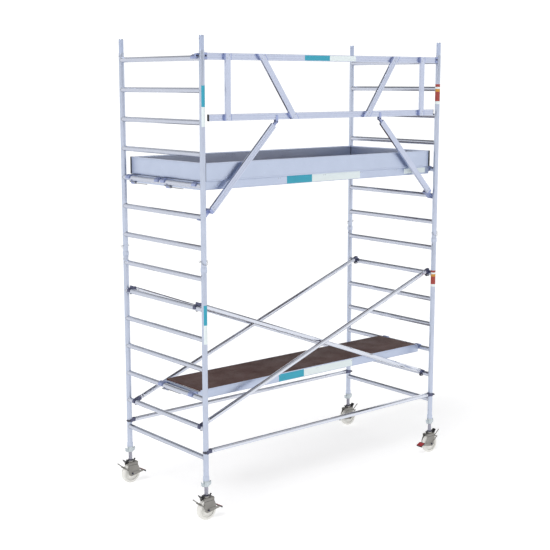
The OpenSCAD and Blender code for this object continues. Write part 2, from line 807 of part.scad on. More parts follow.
module wheel() {
    bore_r = axle_r + running_gap;
    hub_r = 30;
    web_half = 13;
    rim_r = wheel_r - 26;
    color([0.92, 0.92, 0.90]) translate([0, 0, wheel_r]) rotate([90, 0, 0]) rotate_extrude()
        polygon([
            [bore_r, -hub_half], [hub_r, -hub_half], [hub_r + 6, -web_half], [rim_r - 4, -web_half],
            [rim_r, -wheel_w / 2], [wheel_r - 9, -wheel_w / 2], [wheel_r - 3, -wheel_w / 2 + 3],
            [wheel_r, -wheel_w / 2 + 10], [wheel_r, wheel_w / 2 - 10], [wheel_r - 3, wheel_w / 2 - 3],
            [wheel_r - 9, wheel_w / 2], [rim_r, wheel_w / 2], [rim_r - 4, web_half],
            [hub_r + 6, web_half], [hub_r, hub_half], [bore_r, hub_half]
        ]);
}

// A rocker on the axle: cheeks outside the fork, a foot pad inwards, a release bar outwards
module brake_pedal() {
    cheek_t = 3;
    cheek_y = plate_y + plate_t + slide_gap;
    clear_r = wheel_r + 6;
    color([0.70, 0.10, 0.13]) translate([0, 0, wheel_r]) {
        for (y = [-cheek_y - cheek_t, cheek_y]) along_y(y, cheek_t) difference() {
            union() {
                circle(r = 16);
                polygon([[-6, 16], [8, 16], [clear_r + 22, 18], [clear_r + 22, -2], [6, -16], [-10, -14]]);
                rotate(140) translate([0, -9]) square([clear_r + 12, 18]);
            }
            circle(r = axle_r + running_gap);
        }
        // The foot pad
        along_y(-cheek_y - cheek_t, 2 * (cheek_y + cheek_t)) polygon([
            [clear_r, 26], [clear_r + 6, 26], [clear_r + 56, 2], [clear_r + 54, -12],
            [clear_r + 48, -12], [clear_r + 46, -2], [clear_r, 18]
        ]);
        // The release bar, joined to the cheeks by a bridge
        along_y(-cheek_y - cheek_t, 2 * (cheek_y + cheek_t))
            rotate(140) translate([clear_r, -9]) square([5, 18]);
        rotate([0, -140, 0]) translate([clear_r + 2, 0, 0]) rotate([0, 90, 0])
            cylinder(h = 92, r = 5, $fn = 24);
    }
}

end_frame(-1, 0);  // lower_left_frame
end_frame(1, 0);  // lower_right_frame
end_frame(-1, 1);  // upper_left_frame
end_frame(1, 1);  // upper_right_frame
frame_spigots();
spigot_rivets();
for (d = DIAGONALS) diagonal_brace(d);
for (h = HORIZONTALS) horizontal_brace(h);
brace_claws();
brace_latches();
for (p = PLATFORMS) {
    platform_frame(p);
    platform_deck(p);
    wind_lock(p);
}
platform_hooks();
hatch();
hatch_hinges();
long_toe_board(-1);  // near_toe_board
long_toe_board(1);  // far_toe_board
end_toe_board(-1);  // left_toe_board
end_toe_board(1);  // right_toe_board
toe_board_corners();
guardrail_frame();
guardrail_hooks();
guardrail_end_plugs();
guardrail_leg(-1);  // left_guardrail_leg
guardrail_leg(1);  // right_guardrail_leg
for (c = CORNERS) {
    at_mirrored_post(c) translate([0, 0, foot_z + frame_h + lock_hole_z]) lock_clip();
    at_castor(c) spindle();
    at_castor(c) leg_nut();
    at_castor(c) fork();
    at_castor(c) wheel();
    at_castor(c) brake_pedal();
}
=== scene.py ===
# %% [markdown]
# # A mobile tower scaffold, piece by piece
# The tower is a kit: ladder frames, braces, platforms, toe boards, a guardrail and four castors.
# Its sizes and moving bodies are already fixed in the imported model, so this file only builds the
# looks around them. Every new surface is worked out with numpy, as rings of points with a skin.

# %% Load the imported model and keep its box
import math

import bpy
import numpy as np
from mathutils import Matrix, Vector


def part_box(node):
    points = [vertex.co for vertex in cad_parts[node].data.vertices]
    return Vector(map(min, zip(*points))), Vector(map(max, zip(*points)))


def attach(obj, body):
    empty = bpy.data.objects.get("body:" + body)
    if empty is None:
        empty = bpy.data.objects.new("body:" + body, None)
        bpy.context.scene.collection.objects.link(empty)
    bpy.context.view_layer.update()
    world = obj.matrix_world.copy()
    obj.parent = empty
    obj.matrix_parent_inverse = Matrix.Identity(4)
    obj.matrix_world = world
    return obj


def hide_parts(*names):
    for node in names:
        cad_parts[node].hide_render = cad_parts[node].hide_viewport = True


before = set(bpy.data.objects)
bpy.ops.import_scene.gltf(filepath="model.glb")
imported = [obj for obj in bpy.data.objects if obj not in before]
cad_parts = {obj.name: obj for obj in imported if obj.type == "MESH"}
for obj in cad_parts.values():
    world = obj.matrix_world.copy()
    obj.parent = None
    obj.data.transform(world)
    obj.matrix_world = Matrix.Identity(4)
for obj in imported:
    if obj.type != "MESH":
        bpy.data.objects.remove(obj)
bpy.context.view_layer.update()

# %% [markdown]
# ## Where things are
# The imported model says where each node's corners are. The few sizes that a box can't tell, such
# as a tube's radius, are named here in metres, and everything else follows from the two.

# %% Sizes of the tower in metres
MM = 0.001
POST_R, POST_BORE, COLLAR_R, COLLAR_H = 25.5 * MM, 23 * MM, 30 * MM, 50 * MM
RUNG_R, RUNG_BORE, FIRST_RUNG, RUNGS = 24.5 * MM, 22.5 * MM, 215 * MM, 7
BRACE_R, CLAW_IN = 22.5 * MM, 30 * MM
PIN_R, LOCK_HOLE = 4 * MM, 100 * MM
frame_low, frame_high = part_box("lower_left_frame")
POST_X = round(-(frame_low.x + frame_high.x) / 2, 4)
POST_Y = round(frame_high.y - COLLAR_R, 4)
FOOT_Z, FRAME_H = frame_low.z, frame_high.z - frame_low.z
PITCH = FRAME_H / RUNGS
CORNERS = {"near_left": (-1, -1), "near_right": (1, -1), "far_left": (-1, 1), "far_right": (1, 1)}


def rung_height(number):
    """Height of a rung's centre; rung 0 is the tower's lowest and rung 13 its highest."""
    return FOOT_Z + FIRST_RUNG + number * PITCH


print("posts at", round(POST_X, 4), round(POST_Y, 4), "rungs every", round(PITCH, 4))

# %% [markdown]
# ## Camera, floor and light
# A long lens from a little above the guardrail side keeps the posts nearly upright. The room is a
# white studio: a wide floor with a glow of its own, a sky that is white around the horizon and
# nearly black overhead, so that the tubes' tops pick up a dark line, and two broad soft suns.

# %% Camera
def put(name, data, azimuth, elevation):
    """Puts a camera or a lamp in the scene with its back to a compass direction in degrees, where 0 is -Y."""
    a, e = math.radians(azimuth), math.radians(elevation)
    back = Vector((math.sin(a) * math.cos(e), -math.cos(a) * math.cos(e), math.sin(e)))
    made = bpy.data.objects.new(name, data)
    made.rotation_euler = back.to_track_quat("Z", "Y").to_euler()
    bpy.context.scene.collection.objects.link(made)
    return made


AZIMUTH, ELEVATION, EYE = -39.87, 9.76, (-7.420, -8.7045, 4.031)
LENS_MM, SENSOR_MM = 73.53, 36
camera = put("camera", bpy.data.cameras.new("camera"), AZIMUTH, ELEVATION)
camera.location = EYE
camera.data.lens, camera.data.sensor_width, camera.data.clip_end = LENS_MM, SENSOR_MM, 2000
bpy.context.scene.camera = camera
bpy.context.scene.view_settings.view_transform = "Standard"

# %% Floor, sky and suns
FLOOR_R, FLOOR_SIDES = 300, 64


def feed(tree, made, *inputs, **named):
    """Feeds a node's inputs, in order or by name, with values or with other nodes' outputs. A name in small
    letters is a setting of the node itself."""
    settings = [name for name in named if name.islower()]
    for name in settings:
        setattr(made, name, named[name])
    by_name = [(made.inputs[name.replace("_", " ")], named[name]) for name in named if name not in settings]
    for socket, value in list(zip(made.inputs, inputs)) + by_name:
        if isinstance(value, bpy.types.NodeSocket):
            tree.links.new(value, socket)
        else:
            socket.default_value = value
    return made


def node_of(tree, kind, *inputs, **named):
    """A new shader node of that kind, fed at once."""
    return feed(tree, tree.nodes.new("ShaderNode" + kind), *inputs, **named)


around_floor = np.linspace(0, math.tau, FLOOR_SIDES, endpoint=False)
floor_mesh = bpy.data.meshes.new("floor")
floor_mesh.from_pydata([(FLOOR_R * math.cos(t), FLOOR_R * math.sin(t), 0) for t in around_floor], [],
                       [list(range(FLOOR_SIDES))])
floor = bpy.data.objects.new("floor", floor_mesh)
bpy.context.scene.collection.objects.link(floor)
floor_finish = bpy.data.materials.new("floor_paper")
floor_finish.use_nodes = True
tree = floor_finish.node_tree
feed(tree, tree.nodes["Principled BSDF"], Base_Color=(0.60, 0.60, 0.605, 1), Roughness=0.9,
     Specular_IOR_Level=0.0, Emission_Color=(1, 1, 1, 1), Emission_Strength=0.62)
floor_mesh.materials.append(floor_finish)

sky = bpy.data.worlds.new("studio")
sky.use_nodes = True
bpy.context.scene.world = sky
tree = sky.node_tree
height = node_of(tree, "SeparateXYZ", node_of(tree, "TexCoord").outputs["Generated"]).outputs["Z"]
shade = node_of(tree, "MapRange", Value=height, From_Min=0.42, From_Max=0.60, To_Min=1.0, To_Max=0.05,
                interpolation_type="SMOOTHSTEP")
feed(tree, tree.nodes["Background"], Color=shade.outputs["Result"], Strength=1.12)


def soft_sun(name, azimuth, elevation, strength, spread):
    """A sun that shines from a compass direction with an edge spread over that many degrees."""
    lamp = put(name, bpy.data.lights.new(name, "SUN"), azimuth, elevation)
    lamp.data.energy, lamp.data.angle = strength, math.radians(spread)


soft_sun("key", -75, 58, 1.3, 25)
soft_sun("fill", 60, 70, 0.5, 60)

# %% [markdown]
# ## A skin over rings
# Nearly every piece here is a tube, a turned part or a plate with broken edges. All of them are
# one thing: rings of points, one after another, with a skin of quads between them. A loft keeps
# its texture coordinates in metres too, along and around, so that drawn or brushed lines can
# follow a tube whichever way it points.

# %% Loft and its helpers
def loft(rings, close_rows=False):
    """A closed skin over rings[i, j], point j of ring i. The ends are capped, or, with close_rows, the last
    ring joins the first. Texture coordinates are lengths, along the first column and around the first ring."""
    rings = np.asarray(rings, float)
    rows, columns = rings.shape[:2]
    i = np.arange(rows if close_rows else rows - 1)[:, None]
    j = np.arange(columns)[None, :]
    right, below = (j + 1) % columns, (i + 1) % rows
    quads = np.stack(np.broadcast_arrays(
        i * columns + j, i * columns + right, below * columns + right, below * columns + j), -1)
    steps_along = np.linalg.norm(np.roll(rings[:, 0], -1, 0) - rings[:, 0], axis=1)
    steps_around = np.linalg.norm(np.roll(rings[0], -1, 0) - rings[0], axis=1)
    u = np.concatenate([[0], np.cumsum(steps_along)])
    v = np.concatenate([[0], np.cumsum(steps_around)])
    u0, u1, v0, v1 = np.broadcast_arrays(u[i], u[i + 1], v[j], v[j + 1])
    where = np.stack([np.stack(p, -1) for p in ((u0, v0), (u0, v1), (u1, v1), (u1, v0))], -2)
    blocks = [(quads.reshape(-1, 4), where.reshape(-1, 4, 2))]
    if not close_rows:
        ends = [np.arange(columns)[::-1], (rows - 1) * columns + np.arange(columns)]
        flat = np.stack([v[:-1] * 0, v[:-1]], -1)
        blocks += [(end[None], flat[None]) for end in ends]
    return rings.reshape(-1, 3), blocks


def signed_volume(points, blocks):
    """Six times the volume inside a closed skin, negative where its faces point inwards."""
    total = 0.0
    for faces, _ in blocks:
        corner = points[faces]
        for k in range(1, faces.shape[1] - 1):
            total += float(np.sum(corner[:, 0] * np.cross(corner[:, k], corner[:, k + 1])))
    return total


def moved(shape, matrix):
    """The same shape after a 4 by 4 transform."""
    points, blocks = shape
    m = np.array(matrix)
    return points @ m[:3, :3].T + m[:3, 3], blocks


def shifted(shape, x=0.0, y=0.0, z=0.0):
    """The same shape, moved along the axes."""
    return shape[0] + np.array([x, y, z]), shape[1]


def piece(name, shapes, material, replaces=(), body="tower", crease=32):
    """One object from closed shapes, which rides on its body. Each shape's faces are turned outwards, and
    edges sharper than crease degrees stay sharp."""
    points, polygons, places, start = [], [], [], 0
    for shape_points, blocks in shapes:
        inside_out = signed_volume(shape_points - shape_points.mean(0), blocks) < 0
        for faces, where in blocks:
            turn = slice(None, None, -1) if inside_out else slice(None)
            polygons.extend((faces[:, turn] + start).tolist())
            places.append(where[:, turn].reshape(-1, 2))
        points.append(shape_points)
        start += len(shape_points)
    mesh = bpy.data.meshes.new(name)
    mesh.from_pydata(np.concatenate(points).tolist(), [], polygons)
    mesh.uv_layers.new(name="along").data.foreach_set("uv", np.concatenate(places).ravel())
    mesh.materials.append(material)
    mesh.shade_smooth()
    mesh.set_sharp_from_angle(angle=math.radians(crease))
    made = bpy.data.objects.new(name, mesh)
    bpy.context.scene.collection.objects.link(made)
    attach(made, body)
    if replaces:
        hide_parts(*replaces)
    print(name, len(mesh.polygons), "faces")
    return made


# %% Outlines and the ways to carry them
X_AXIS, Y_AXIS, Z_AXIS = np.eye(3)


def circle(radius, count=32):
    """Points around a circle."""
    t = np.arange(count) * math.tau / count
    return radius * np.stack([np.cos(t), np.sin(t)], -1)


def fluted(radius, ribs, depth, per_rib=6):
    """A circle whose radius dips by depth between its ribs, as a cosine of the angle."""
    t = np.arange(ribs * per_rib) * math.tau / (ribs * per_rib)
    r = radius - depth * (0.5 - 0.5 * np.cos(ribs * t)) ** 2
    return r[:, None] * np.stack([np.cos(t), np.sin(t)], -1)


def rounded(corners, radius, steps=4):
    """A polygon with round corners: each corner is cut back along both sides, and a quadratic curve with the
    corner as its control point joins the cuts."""
    corners = np.asarray(corners, float)
    before = np.roll(corners, 1, 0) - corners
    after = np.roll(corners, -1, 0) - corners
    long_before, long_after = np.linalg.norm(before, axis=1), np.linalg.norm(after, axis=1)
    radius = np.broadcast_to(radius, long_before.shape)
    cut = np.minimum(radius, 0.45 * np.minimum(long_before, long_after))[:, None]
    start = corners + before / long_before[:, None] * cut
    end = corners + after / long_after[:, None] * cut
    t = np.linspace(0, 1, steps + 1)[None, :, None]
    arcs = (1 - t) ** 2 * start[:, None] + 2 * t * (1 - t) * corners[:, None] + t ** 2 * end[:, None]
    return arcs.reshape(-1, 2)


def box_outline(width, height, radius, steps=3):
    """A rectangle around the origin with round corners."""
    w, h = width / 2, height / 2
    return rounded([(-w, -h), (w, -h), (w, h), (-w, h)], radius, steps)


def inset(outline, distance):
    """An outline moved inwards by distance, each point along the mean of its two sides' normals."""
    outline = np.asarray(outline, float)
    side = np.roll(outline, -1, 0) - outline
    area = np.sum(outline[:, 0] * np.roll(outline[:, 1], -1) - np.roll(outline[:, 0], -1) * outline[:, 1])
    normal = np.stack([-side[:, 1], side[:, 0]], -1) / np.maximum(np.linalg.norm(side, axis=1), 1e-9)[:, None]
    if area < 0:
        normal = -normal
    mean = normal + np.roll(normal, 1, 0)
    mean /= np.maximum(np.linalg.norm(mean, axis=1), 1e-9)[:, None]
    lean = np.maximum(np.sum(mean * normal, -1), 0.5)[:, None]
    return outline + mean / lean * distance


def axes_along(start, end, up):
    """The unit direction from start to end, and two unit vectors across it, the second nearest to up."""
    start, end = np.asarray(start, float), np.asarray(end, float)
    ahead = (end - start) / np.linalg.norm(end - start)
    side = np.cross(up, ahead)
    side /= np.linalg.norm(side)
    return ahead, side, np.cross(ahead, side)


def square_to(axis, hint=(0.3, 1, 0.2)):
    """The unit axis, and two unit vectors that are square to it and to each other."""
    axis = np.asarray(axis, float) / np.linalg.norm(axis)
    across = np.cross(axis, hint)
    across /= np.linalg.norm(across)
    return axis, across, np.cross(axis, across)


def ring_at(outline, centre, side, up):
    """An outline drawn in space, its X along side and its Y along up."""
    return np.asarray(centre, float) + outline[:, :1] * side + outline[:, 1:] * up


def bar(outline, start, end, up=(0, 0, 1), edge=0.6 * MM):
    """A solid bar of that outline from start to end, with its end edges broken by edge."""
    ahead, side, above = axes_along(start, end, up)
    small = inset(outline, edge)
    start, end = np.asarray(start, float), np.asarray(end, float)
    stations = [(small, start), (outline, start + ahead * edge), (outline, end - ahead * edge), (small, end)]
    return loft([ring_at(o, c, side, above) for o, c in stations])


def turned(profile, base, axis, count=32, hollow=False):
    """A lathe part: each (radius, height) of the profile is a ring around axis, from base upwards."""
    axis, across, third = square_to(axis)
    base = np.asarray(base, float)
    rings = [ring_at(circle(r, count), base + axis * h, across, third) for r, h in profile]
    return loft(rings, close_rows=hollow)


def plate(outline, thickness, origin, x_axis, y_axis, edge=0.8 * MM):
    """A flat plate with broken edges: the outline lies on x_axis and y_axis at origin and gets its thickness
    along their cross product."""
    x_axis, y_axis = np.asarray(x_axis, float), np.asarray(y_axis, float)
    normal = np.cross(x_axis, y_axis)
    small = inset(outline, edge)
    stations = [(small, 0), (outline, edge), (outline, thickness - edge), (small, thickness)]
    origin = np.asarray(origin, float)
    return loft([ring_at(o, origin + normal * h, x_axis, y_axis) for o, h in stations])


def wire(points, radius, count=10, closed=False):
    """A round wire along points: each ring stands square to the path, and is carried on from the last ring's
    own direction so that it never twists."""
    points = np.asarray(points, float)
    if closed:
        tangent = np.roll(points, -1, 0) - np.roll(points, 1, 0)
    else:
        tangent = np.gradient(points, axis=0)
    tangent /= np.linalg.norm(tangent, axis=1)[:, None]
    side = np.cross(tangent[0], (0.31, 0.52, 0.79))
    rings = []
    for centre, ahead in zip(points, tangent):
        side = side - ahead * np.dot(side, ahead)
        side /= np.linalg.norm(side)
        rings.append(ring_at(circle(radius, count), centre, side, np.cross(ahead, side)))
    return loft(rings, close_rows=closed)


def hex_bolt(base, axis, across=13 * MM, head=6 * MM, washer=9 * MM, washer_t=1.4 * MM):
    """A washer, and a hexagon head whose corners are turned down to a round face."""
    axis, side, third = square_to(axis)
    base = np.asarray(base, float)
    flat = turned([(washer, 0), (washer, washer_t), (washer * 0.6, 1.5 * MM)], base, axis, 24)
    hexagon, top = circle(across / 2 / math.cos(math.pi / 6), 6), circle(across / 2 * 0.94, 6)
    stations = [(hexagon, washer_t), (hexagon, head * 0.85 + washer_t), (top, head + washer_t)]
    return [flat, loft([ring_at(o, base + axis * h, side, third) for o, h in stations])]


def rivet(base, axis, radius=4.5 * MM, height=2.4 * MM):
    """A domed rivet head: a flat rim, then a quarter ellipse."""
    t = np.linspace(0, math.pi / 2 * 0.93, 5)
    profile = [(radius, 0)] + [(radius * math.cos(a), height * (0.2 + 0.8 * math.sin(a))) for a in t]
    return turned(profile, base, axis, 14)


# %% [markdown]
# ## Finishes
# Almost all of the tower is aluminium in its mill finish: a cool, satin metal with fine lines
# drawn along each profile, and a faint cloudiness where it has been handled. Those lines follow
# the loft's own coordinates. Castings and pressed steel are isotropic, so they read the object's
# coordinates instead. All the colour stays in nodes, with nothing painted by where the eye is.

# %% Build the finishes
def finish(name, colour, roughness, metallic=1.0, dark=0.82, drawn=None, cloud=9.0, grain=260.0, bump=0.12,
           depth=0.15 * MM, coat=0.0):
    """A metal, paint or plastic. Colour and roughness drift with a broad noise, and a fine noise raises the
    surface. drawn=(along, around) stretches that fine noise along a loft instead of in space."""
    material = bpy.data.materials.new(name)
    material.use_nodes = True
    tree = material.node_tree
    place = node_of(tree, "TexCoord").outputs["Object"]
    broad = node_of(tree, "TexNoise", Vector=place, Scale=cloud, Detail=4.0).outputs["Fac"]
    if drawn:
        own = node_of(tree, "UVMap", uv_map="along").outputs["UV"]
        place = node_of(tree, "Mapping", Vector=own, Scale=(*drawn, 1.0)).outputs["Vector"]
    fine = node_of(tree, "TexNoise", Vector=place, Scale=1.0 if drawn else grain, Detail=3.0).outputs["Fac"]
    both = node_of(tree, "Math", broad, fine, operation="ADD").outputs[0]
    drift = node_of(tree, "MapRange", Value=both, From_Min=0.7, From_Max=1.3)
    tint = node_of(tree, "Mix", Factor=drift.outputs["Result"], A=(*(c * dark for c in colour), 1.0),
                   B=(*colour, 1.0), data_type="RGBA")
    gloss = node_of(tree, "MapRange", Value=both, From_Min=0.7, From_Max=1.3, To_Min=roughness * 1.25,
                    To_Max=roughness * 0.8)
    raised = node_of(tree, "Bump", Height=fine, Strength=bump, Distance=depth)
    feed(tree, tree.nodes["Principled BSDF"], Base_Color=tint.outputs["Result"], Metallic=metallic,
         Roughness=gloss.outputs["Result"], Normal=raised.outputs["Normal"], Coat_Weight=coat)
    return material


POST_METAL = finish("post_metal", (0.53, 0.58, 0.70), 0.36, dark=0.95, drawn=(5, 1500), bump=0.05)
RUNG_METAL = finish("rung_metal", (0.54, 0.57, 0.66), 0.11, dark=0.94, drawn=(5, 1500), bump=0.04)
WELD = finish("weld", (0.56, 0.58, 0.62), 0.45, grain=600, bump=0.4)
BRACE_METAL = finish("brace_metal", (0.68, 0.71, 0.79), 0.10, dark=0.95, drawn=(4, 1800), bump=0.04)
BEAM_METAL = finish("beam_metal", (0.50, 0.56, 0.70), 0.34, dark=0.97, drawn=(4, 1600), bump=0.05)
RAIL_METAL = finish("rail_metal", (0.54, 0.585, 0.72), 0.34, dark=0.97, drawn=(4, 1600), bump=0.05)
DARK_CASTING = finish("dark_casting", (0.15, 0.16, 0.25), 0.46, dark=0.7, grain=500, bump=0.35)
CAST_ALUMINIUM = finish("cast_aluminium", (0.40, 0.46, 0.70), 0.48, dark=0.75, grain=450, bump=0.35)
ZINC = finish("zinc", (0.40, 0.41, 0.43), 0.32, dark=0.75, grain=380, bump=0.2)
DARK_ZINC = finish("dark_zinc", (0.10, 0.10, 0.13), 0.34, dark=0.7, grain=380, bump=0.2)
SPINDLE_ZINC = finish("spindle_zinc", (0.42, 0.42, 0.49), 0.36, dark=0.8, grain=300, bump=0.25)
NUT_CASTING = finish("nut_casting", (0.64, 0.70, 0.73), 0.50, dark=0.82, grain=420, bump=0.4)
FORK_STEEL = finish("fork_steel", (0.32, 0.31, 0.29), 0.46, metallic=0.75, dark=0.8, grain=300, bump=0.15)
NYLON = finish("nylon", (0.80, 0.79, 0.75), 0.42, metallic=0.0, dark=0.93, grain=700, bump=0.08)
RED_PAINT = finish("red_paint", (0.42, 0.022, 0.028), 0.38, metallic=0.0, dark=0.75, coat=0.3, grain=300)
BLACK_PLASTIC = finish(
    "black_plastic", (0.012, 0.012, 0.015), 0.45, metallic=0.0, dark=0.7, grain=900, bump=0.25)
TEAL_FILM = finish("teal_film", (0.02, 0.36, 0.50), 0.35, metallic=0.0, dark=0.92, bump=0.03)
WHITE_FILM = finish("white_film", (0.78, 0.86, 0.87), 0.35, metallic=0.0, dark=0.96, bump=0.03)
RED_FILM = finish("red_film", (0.36, 0.045, 0.035), 0.35, metallic=0.0, dark=0.85, bump=0.03)
YELLOW_FILM = finish("yellow_film", (0.62, 0.28, 0.03), 0.35, metallic=0.0, dark=0.85, bump=0.03)


def phenolic_deck(name, colour, mesh_period=7 * MM):
    """Film-faced plywood. Two sets of waves at right angles, the period of the pressed wire mesh, raise the
    surface, and a broad noise scuffs the brown film. A wave of scale 1 has a period of tau / 20."""
    material = finish(name, colour, 0.58, metallic=0.0, dark=0.72, cloud=5.0, grain=120, bump=0.2, coat=0.04)
    tree = material.node_tree
    place = node_of(tree, "TexCoord").outputs["Object"]
    turn = node_of(tree, "Mapping", Vector=place, Rotation=(0, 0, math.radians(45))).outputs["Vector"]
    waves = [
        node_of(tree, "TexWave", Vector=turn, Scale=math.tau / 20 / mesh_period, bands_direction=along)
        for along in "XY"
    ]
    cross = node_of(tree, "Math", *[wave.outputs["Fac"] for wave in waves], operation="MAXIMUM").outputs[0]
    raised = node_of(tree, "Bump", Height=cross, Strength=0.5, Distance=0.4 * MM)
    feed(tree, tree.nodes["Principled BSDF"], Specular_IOR_Level=0.12, Normal=raised.outputs["Normal"])
    return material


DECK_BROWN = phenolic_deck("deck_brown", (0.092, 0.034, 0.027))
TUBE_METAL = finish("tube_metal", (0.47, 0.53, 0.68), 0.40, dark=0.9, grain=400)
print("finishes", len(bpy.data.materials))

# %% [markdown]
# ## End frames
# Each end of the tower is two ladder frames, one on the other. A rung is a ribbed tube whose ends
# are cut to sit on the round posts and welded all round. The cut is a formula: a point at x across
# a rung meets the post where the post's own circle is, so no cutting tool is needed.

# %% Posts, rungs and weld beads
POST_RIBS, RUNG_RIBS = 24, 16


def post_shape(y):
    """A post on z = 0: rings up the outside, with a wider collar at the foot, and back down the bore. Ribs
    dip into the tube everywhere but on the collar."""
    smooth, ribbed = (fluted(1.0, POST_RIBS, d) for d in (0.0, 0.022))
    outside = [
        (smooth * 28 * MM, 0), (smooth * COLLAR_R, 2.5 * MM), (smooth * COLLAR_R, COLLAR_H - 12 * MM),
        (smooth * (POST_R + 1.2 * MM), COLLAR_H - 3 * MM), (smooth * POST_R, COLLAR_H),
        (ribbed * POST_R, COLLAR_H + 6 * MM), (ribbed * POST_R, FRAME_H - 1 * MM),
        (ribbed * (POST_R - 0.6 * MM), FRAME_H),
    ]
    inside = [(smooth * POST_BORE, FRAME_H), (smooth * POST_BORE, 0)]
    return loft([ring_at(o, (0, y, z), X_AXIS, Y_AXIS) for o, z in outside + inside], close_rows=True)


def cope(x, radius):
    """How far from a round post's axis a rung ends at x across it."""
    return np.sqrt(np.maximum(radius ** 2 - x ** 2, 0))


def rung_shape(z):
    """A ribbed tube along Y whose two ends follow the posts' round sides."""
    outer, inner = fluted(RUNG_R, RUNG_RIBS, 1.1 * MM), fluted(RUNG_BORE, RUNG_RIBS, 0)
    rings = [
        np.stack([o[:, 0], side * (POST_Y - cope(o[:, 0], POST_R) + 0.6 * MM), z + o[:, 1]], -1)
        for o, side in ((outer, -1), (outer, 1), (inner, 1), (inner, -1))
    ]
    return loft(rings, close_rows=True)


def weld_shape(z, side):
    """A thin bead along the curve where a rung meets a post."""
    around = circle(RUNG_R + 0.4 * MM, 36)
    y = side * (POST_Y - cope(around[:, 0], POST_R + 0.5 * MM))
    return wire(np.stack([around[:, 0], y, z + around[:, 1]], -1), 2.2 * MM, 6, closed=True)


def drill(made, places, radius, length, axis):
    """Cuts round holes through a finished piece, with one Boolean whose result is kept in the mesh."""
    cutters = [turned([(radius, -length / 2), (radius, length / 2)], p, axis, 20) for p in places]
    tool = piece("drill", cutters, made.data.materials[0])
    cut = made.modifiers.new("holes", "BOOLEAN")
    cut.object, cut.solver = tool, "EXACT"
    done = bpy.data.meshes.new_from_object(made.evaluated_get(bpy.context.evaluated_depsgraph_get()))
    made.modifiers.clear()
    made.data = done
    done.set_sharp_from_angle(angle=math.radians(32))
    bpy.data.objects.remove(tool)


for side_name, side in (("left", -1), ("right", 1)):
    for tier, tier_name in enumerate(("lower", "upper")):
        node = f"{tier_name}_{side_name}_frame"
        here = {"x": side * POST_X, "z": FOOT_Z + tier * FRAME_H}
        posts = [shifted(post_shape(s * POST_Y), **here) for s in (-1, 1)]
        heights = [FIRST_RUNG + k * PITCH for k in range(RUNGS)]
        rungs = [shifted(rung_shape(z), **here) for z in heights]
        welds = [shifted(weld_shape(z, s), **here) for z in heights for s in (-1, 1)]
        post_piece = piece(f"{node}_posts", posts, POST_METAL, (node,))
        holes = [(here["x"], s * POST_Y, here["z"] + LOCK_HOLE) for s in (-1, 1)]
        drill(post_piece, holes, PIN_R + 0.05 * MM, 80 * MM, X_AXIS)
        piece(f"{node}_rungs", rungs, RUNG_METAL)
        piece(f"{node}_welds", welds, WELD)

# %% [markdown]
# ## Spigots, rivets and locking clips
# Each post is joined to the next by a spigot: a shorter tube riveted into the post below. The
# packed tubes already have their true cross holes, so they only take a finish. The rivets' heads
# are turned again as domes, because a flat disc catches the light like a sticker.

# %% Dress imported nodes, and turn the rivets
def dress(material, *nodes):
    """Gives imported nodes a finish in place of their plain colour."""
    for node in nodes:
        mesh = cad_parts[node].data
        mesh.materials.clear()
        mesh.materials.append(material)
        mesh.shade_smooth()
        mesh.set_sharp_from_angle(angle=math.radians(32))


dress(TUBE_METAL, "frame_spigots")
RIVET_DROP, TOPS = 30 * MM, (FOOT_Z + FRAME_H, FOOT_Z + 2 * FRAME_H)
heads = [
    rivet((x * POST_X + s * (POST_R - 0.4 * MM), y * POST_Y, top - RIVET_DROP), (s, 0, 0), 5 * MM, 2.6 * MM)
    for x, y in CORNERS.values() for top in TOPS for s in (-1, 1)
]
piece("spigot_rivet_heads", heads, DARK_ZINC, ("spigot_rivets",))
for name in CORNERS:
    dress(ZINC, f"{name}_lock_clip")

# %% [markdown]
# ## Braces
# The braces are bright drawn tubes. A real one is rolled tight onto the shank of its claw, which
# leaves two grooves near each end, and two rivets hold it. The tube is therefore one loft whose
# rings shrink a little at each groove.

# %% Brace tubes, rolled grooves and rivets
GROOVES, GROOVE_HALF, GROOVE_DEPTH, RIVET_IN = (14 * MM, 38 * MM), 2.2 * MM, 0.9 * MM, 26 * MM
FERRULE = [(17, -20), (20.5, -18), (22, -10), (23.6, -5), (24, -0.6), (20, -0.2)]


def brace_ends(node, angle, side):
    """The two ends of a tube's axis, from its box: a tilted tube's box is longer than its axis by the sine of
    its tilt times its diameter."""
    low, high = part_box(node)
    dx, dz = BRACE_R * math.sin(angle), BRACE_R * math.cos(angle)
    y = (low.y + high.y) / 2
    ends = (low.x + dx, low.z + dz), (high.x - dx, high.z - dz)
    if side > 0:
        ends = (low.x + dx, high.z - dz), (high.x - dx, low.z + dz)
    return [np.array([x, y, z]) for x, z in ends]


def brace_shape(start, end):
    """A ribbed tube with rolled grooves near both ends, as a hollow loft."""
    ahead, side, above = axes_along(start, end, (0, 0, 1))
    length = np.linalg.norm(end - start)
    outer, inner = fluted(BRACE_R, 12, 0.7 * MM, 8), fluted(BRACE_R - 2 * MM, 12, 0, 8)
    near = [(0, 0.98), (0.6 * MM, 1.0)]
    for g in GROOVES:
        near += [(g - GROOVE_HALF, 1.0), (g, 1 - GROOVE_DEPTH / BRACE_R), (g + GROOVE_HALF, 1.0)]
    stations = near + [(length - s, k) for s, k in near[::-1]]
    rings = [ring_at(outer * k, start + ahead * s, side, above) for s, k in stations]
    rings += [ring_at(inner, end, side, above), ring_at(inner, start, side, above)]
    return loft(rings, close_rows=True)


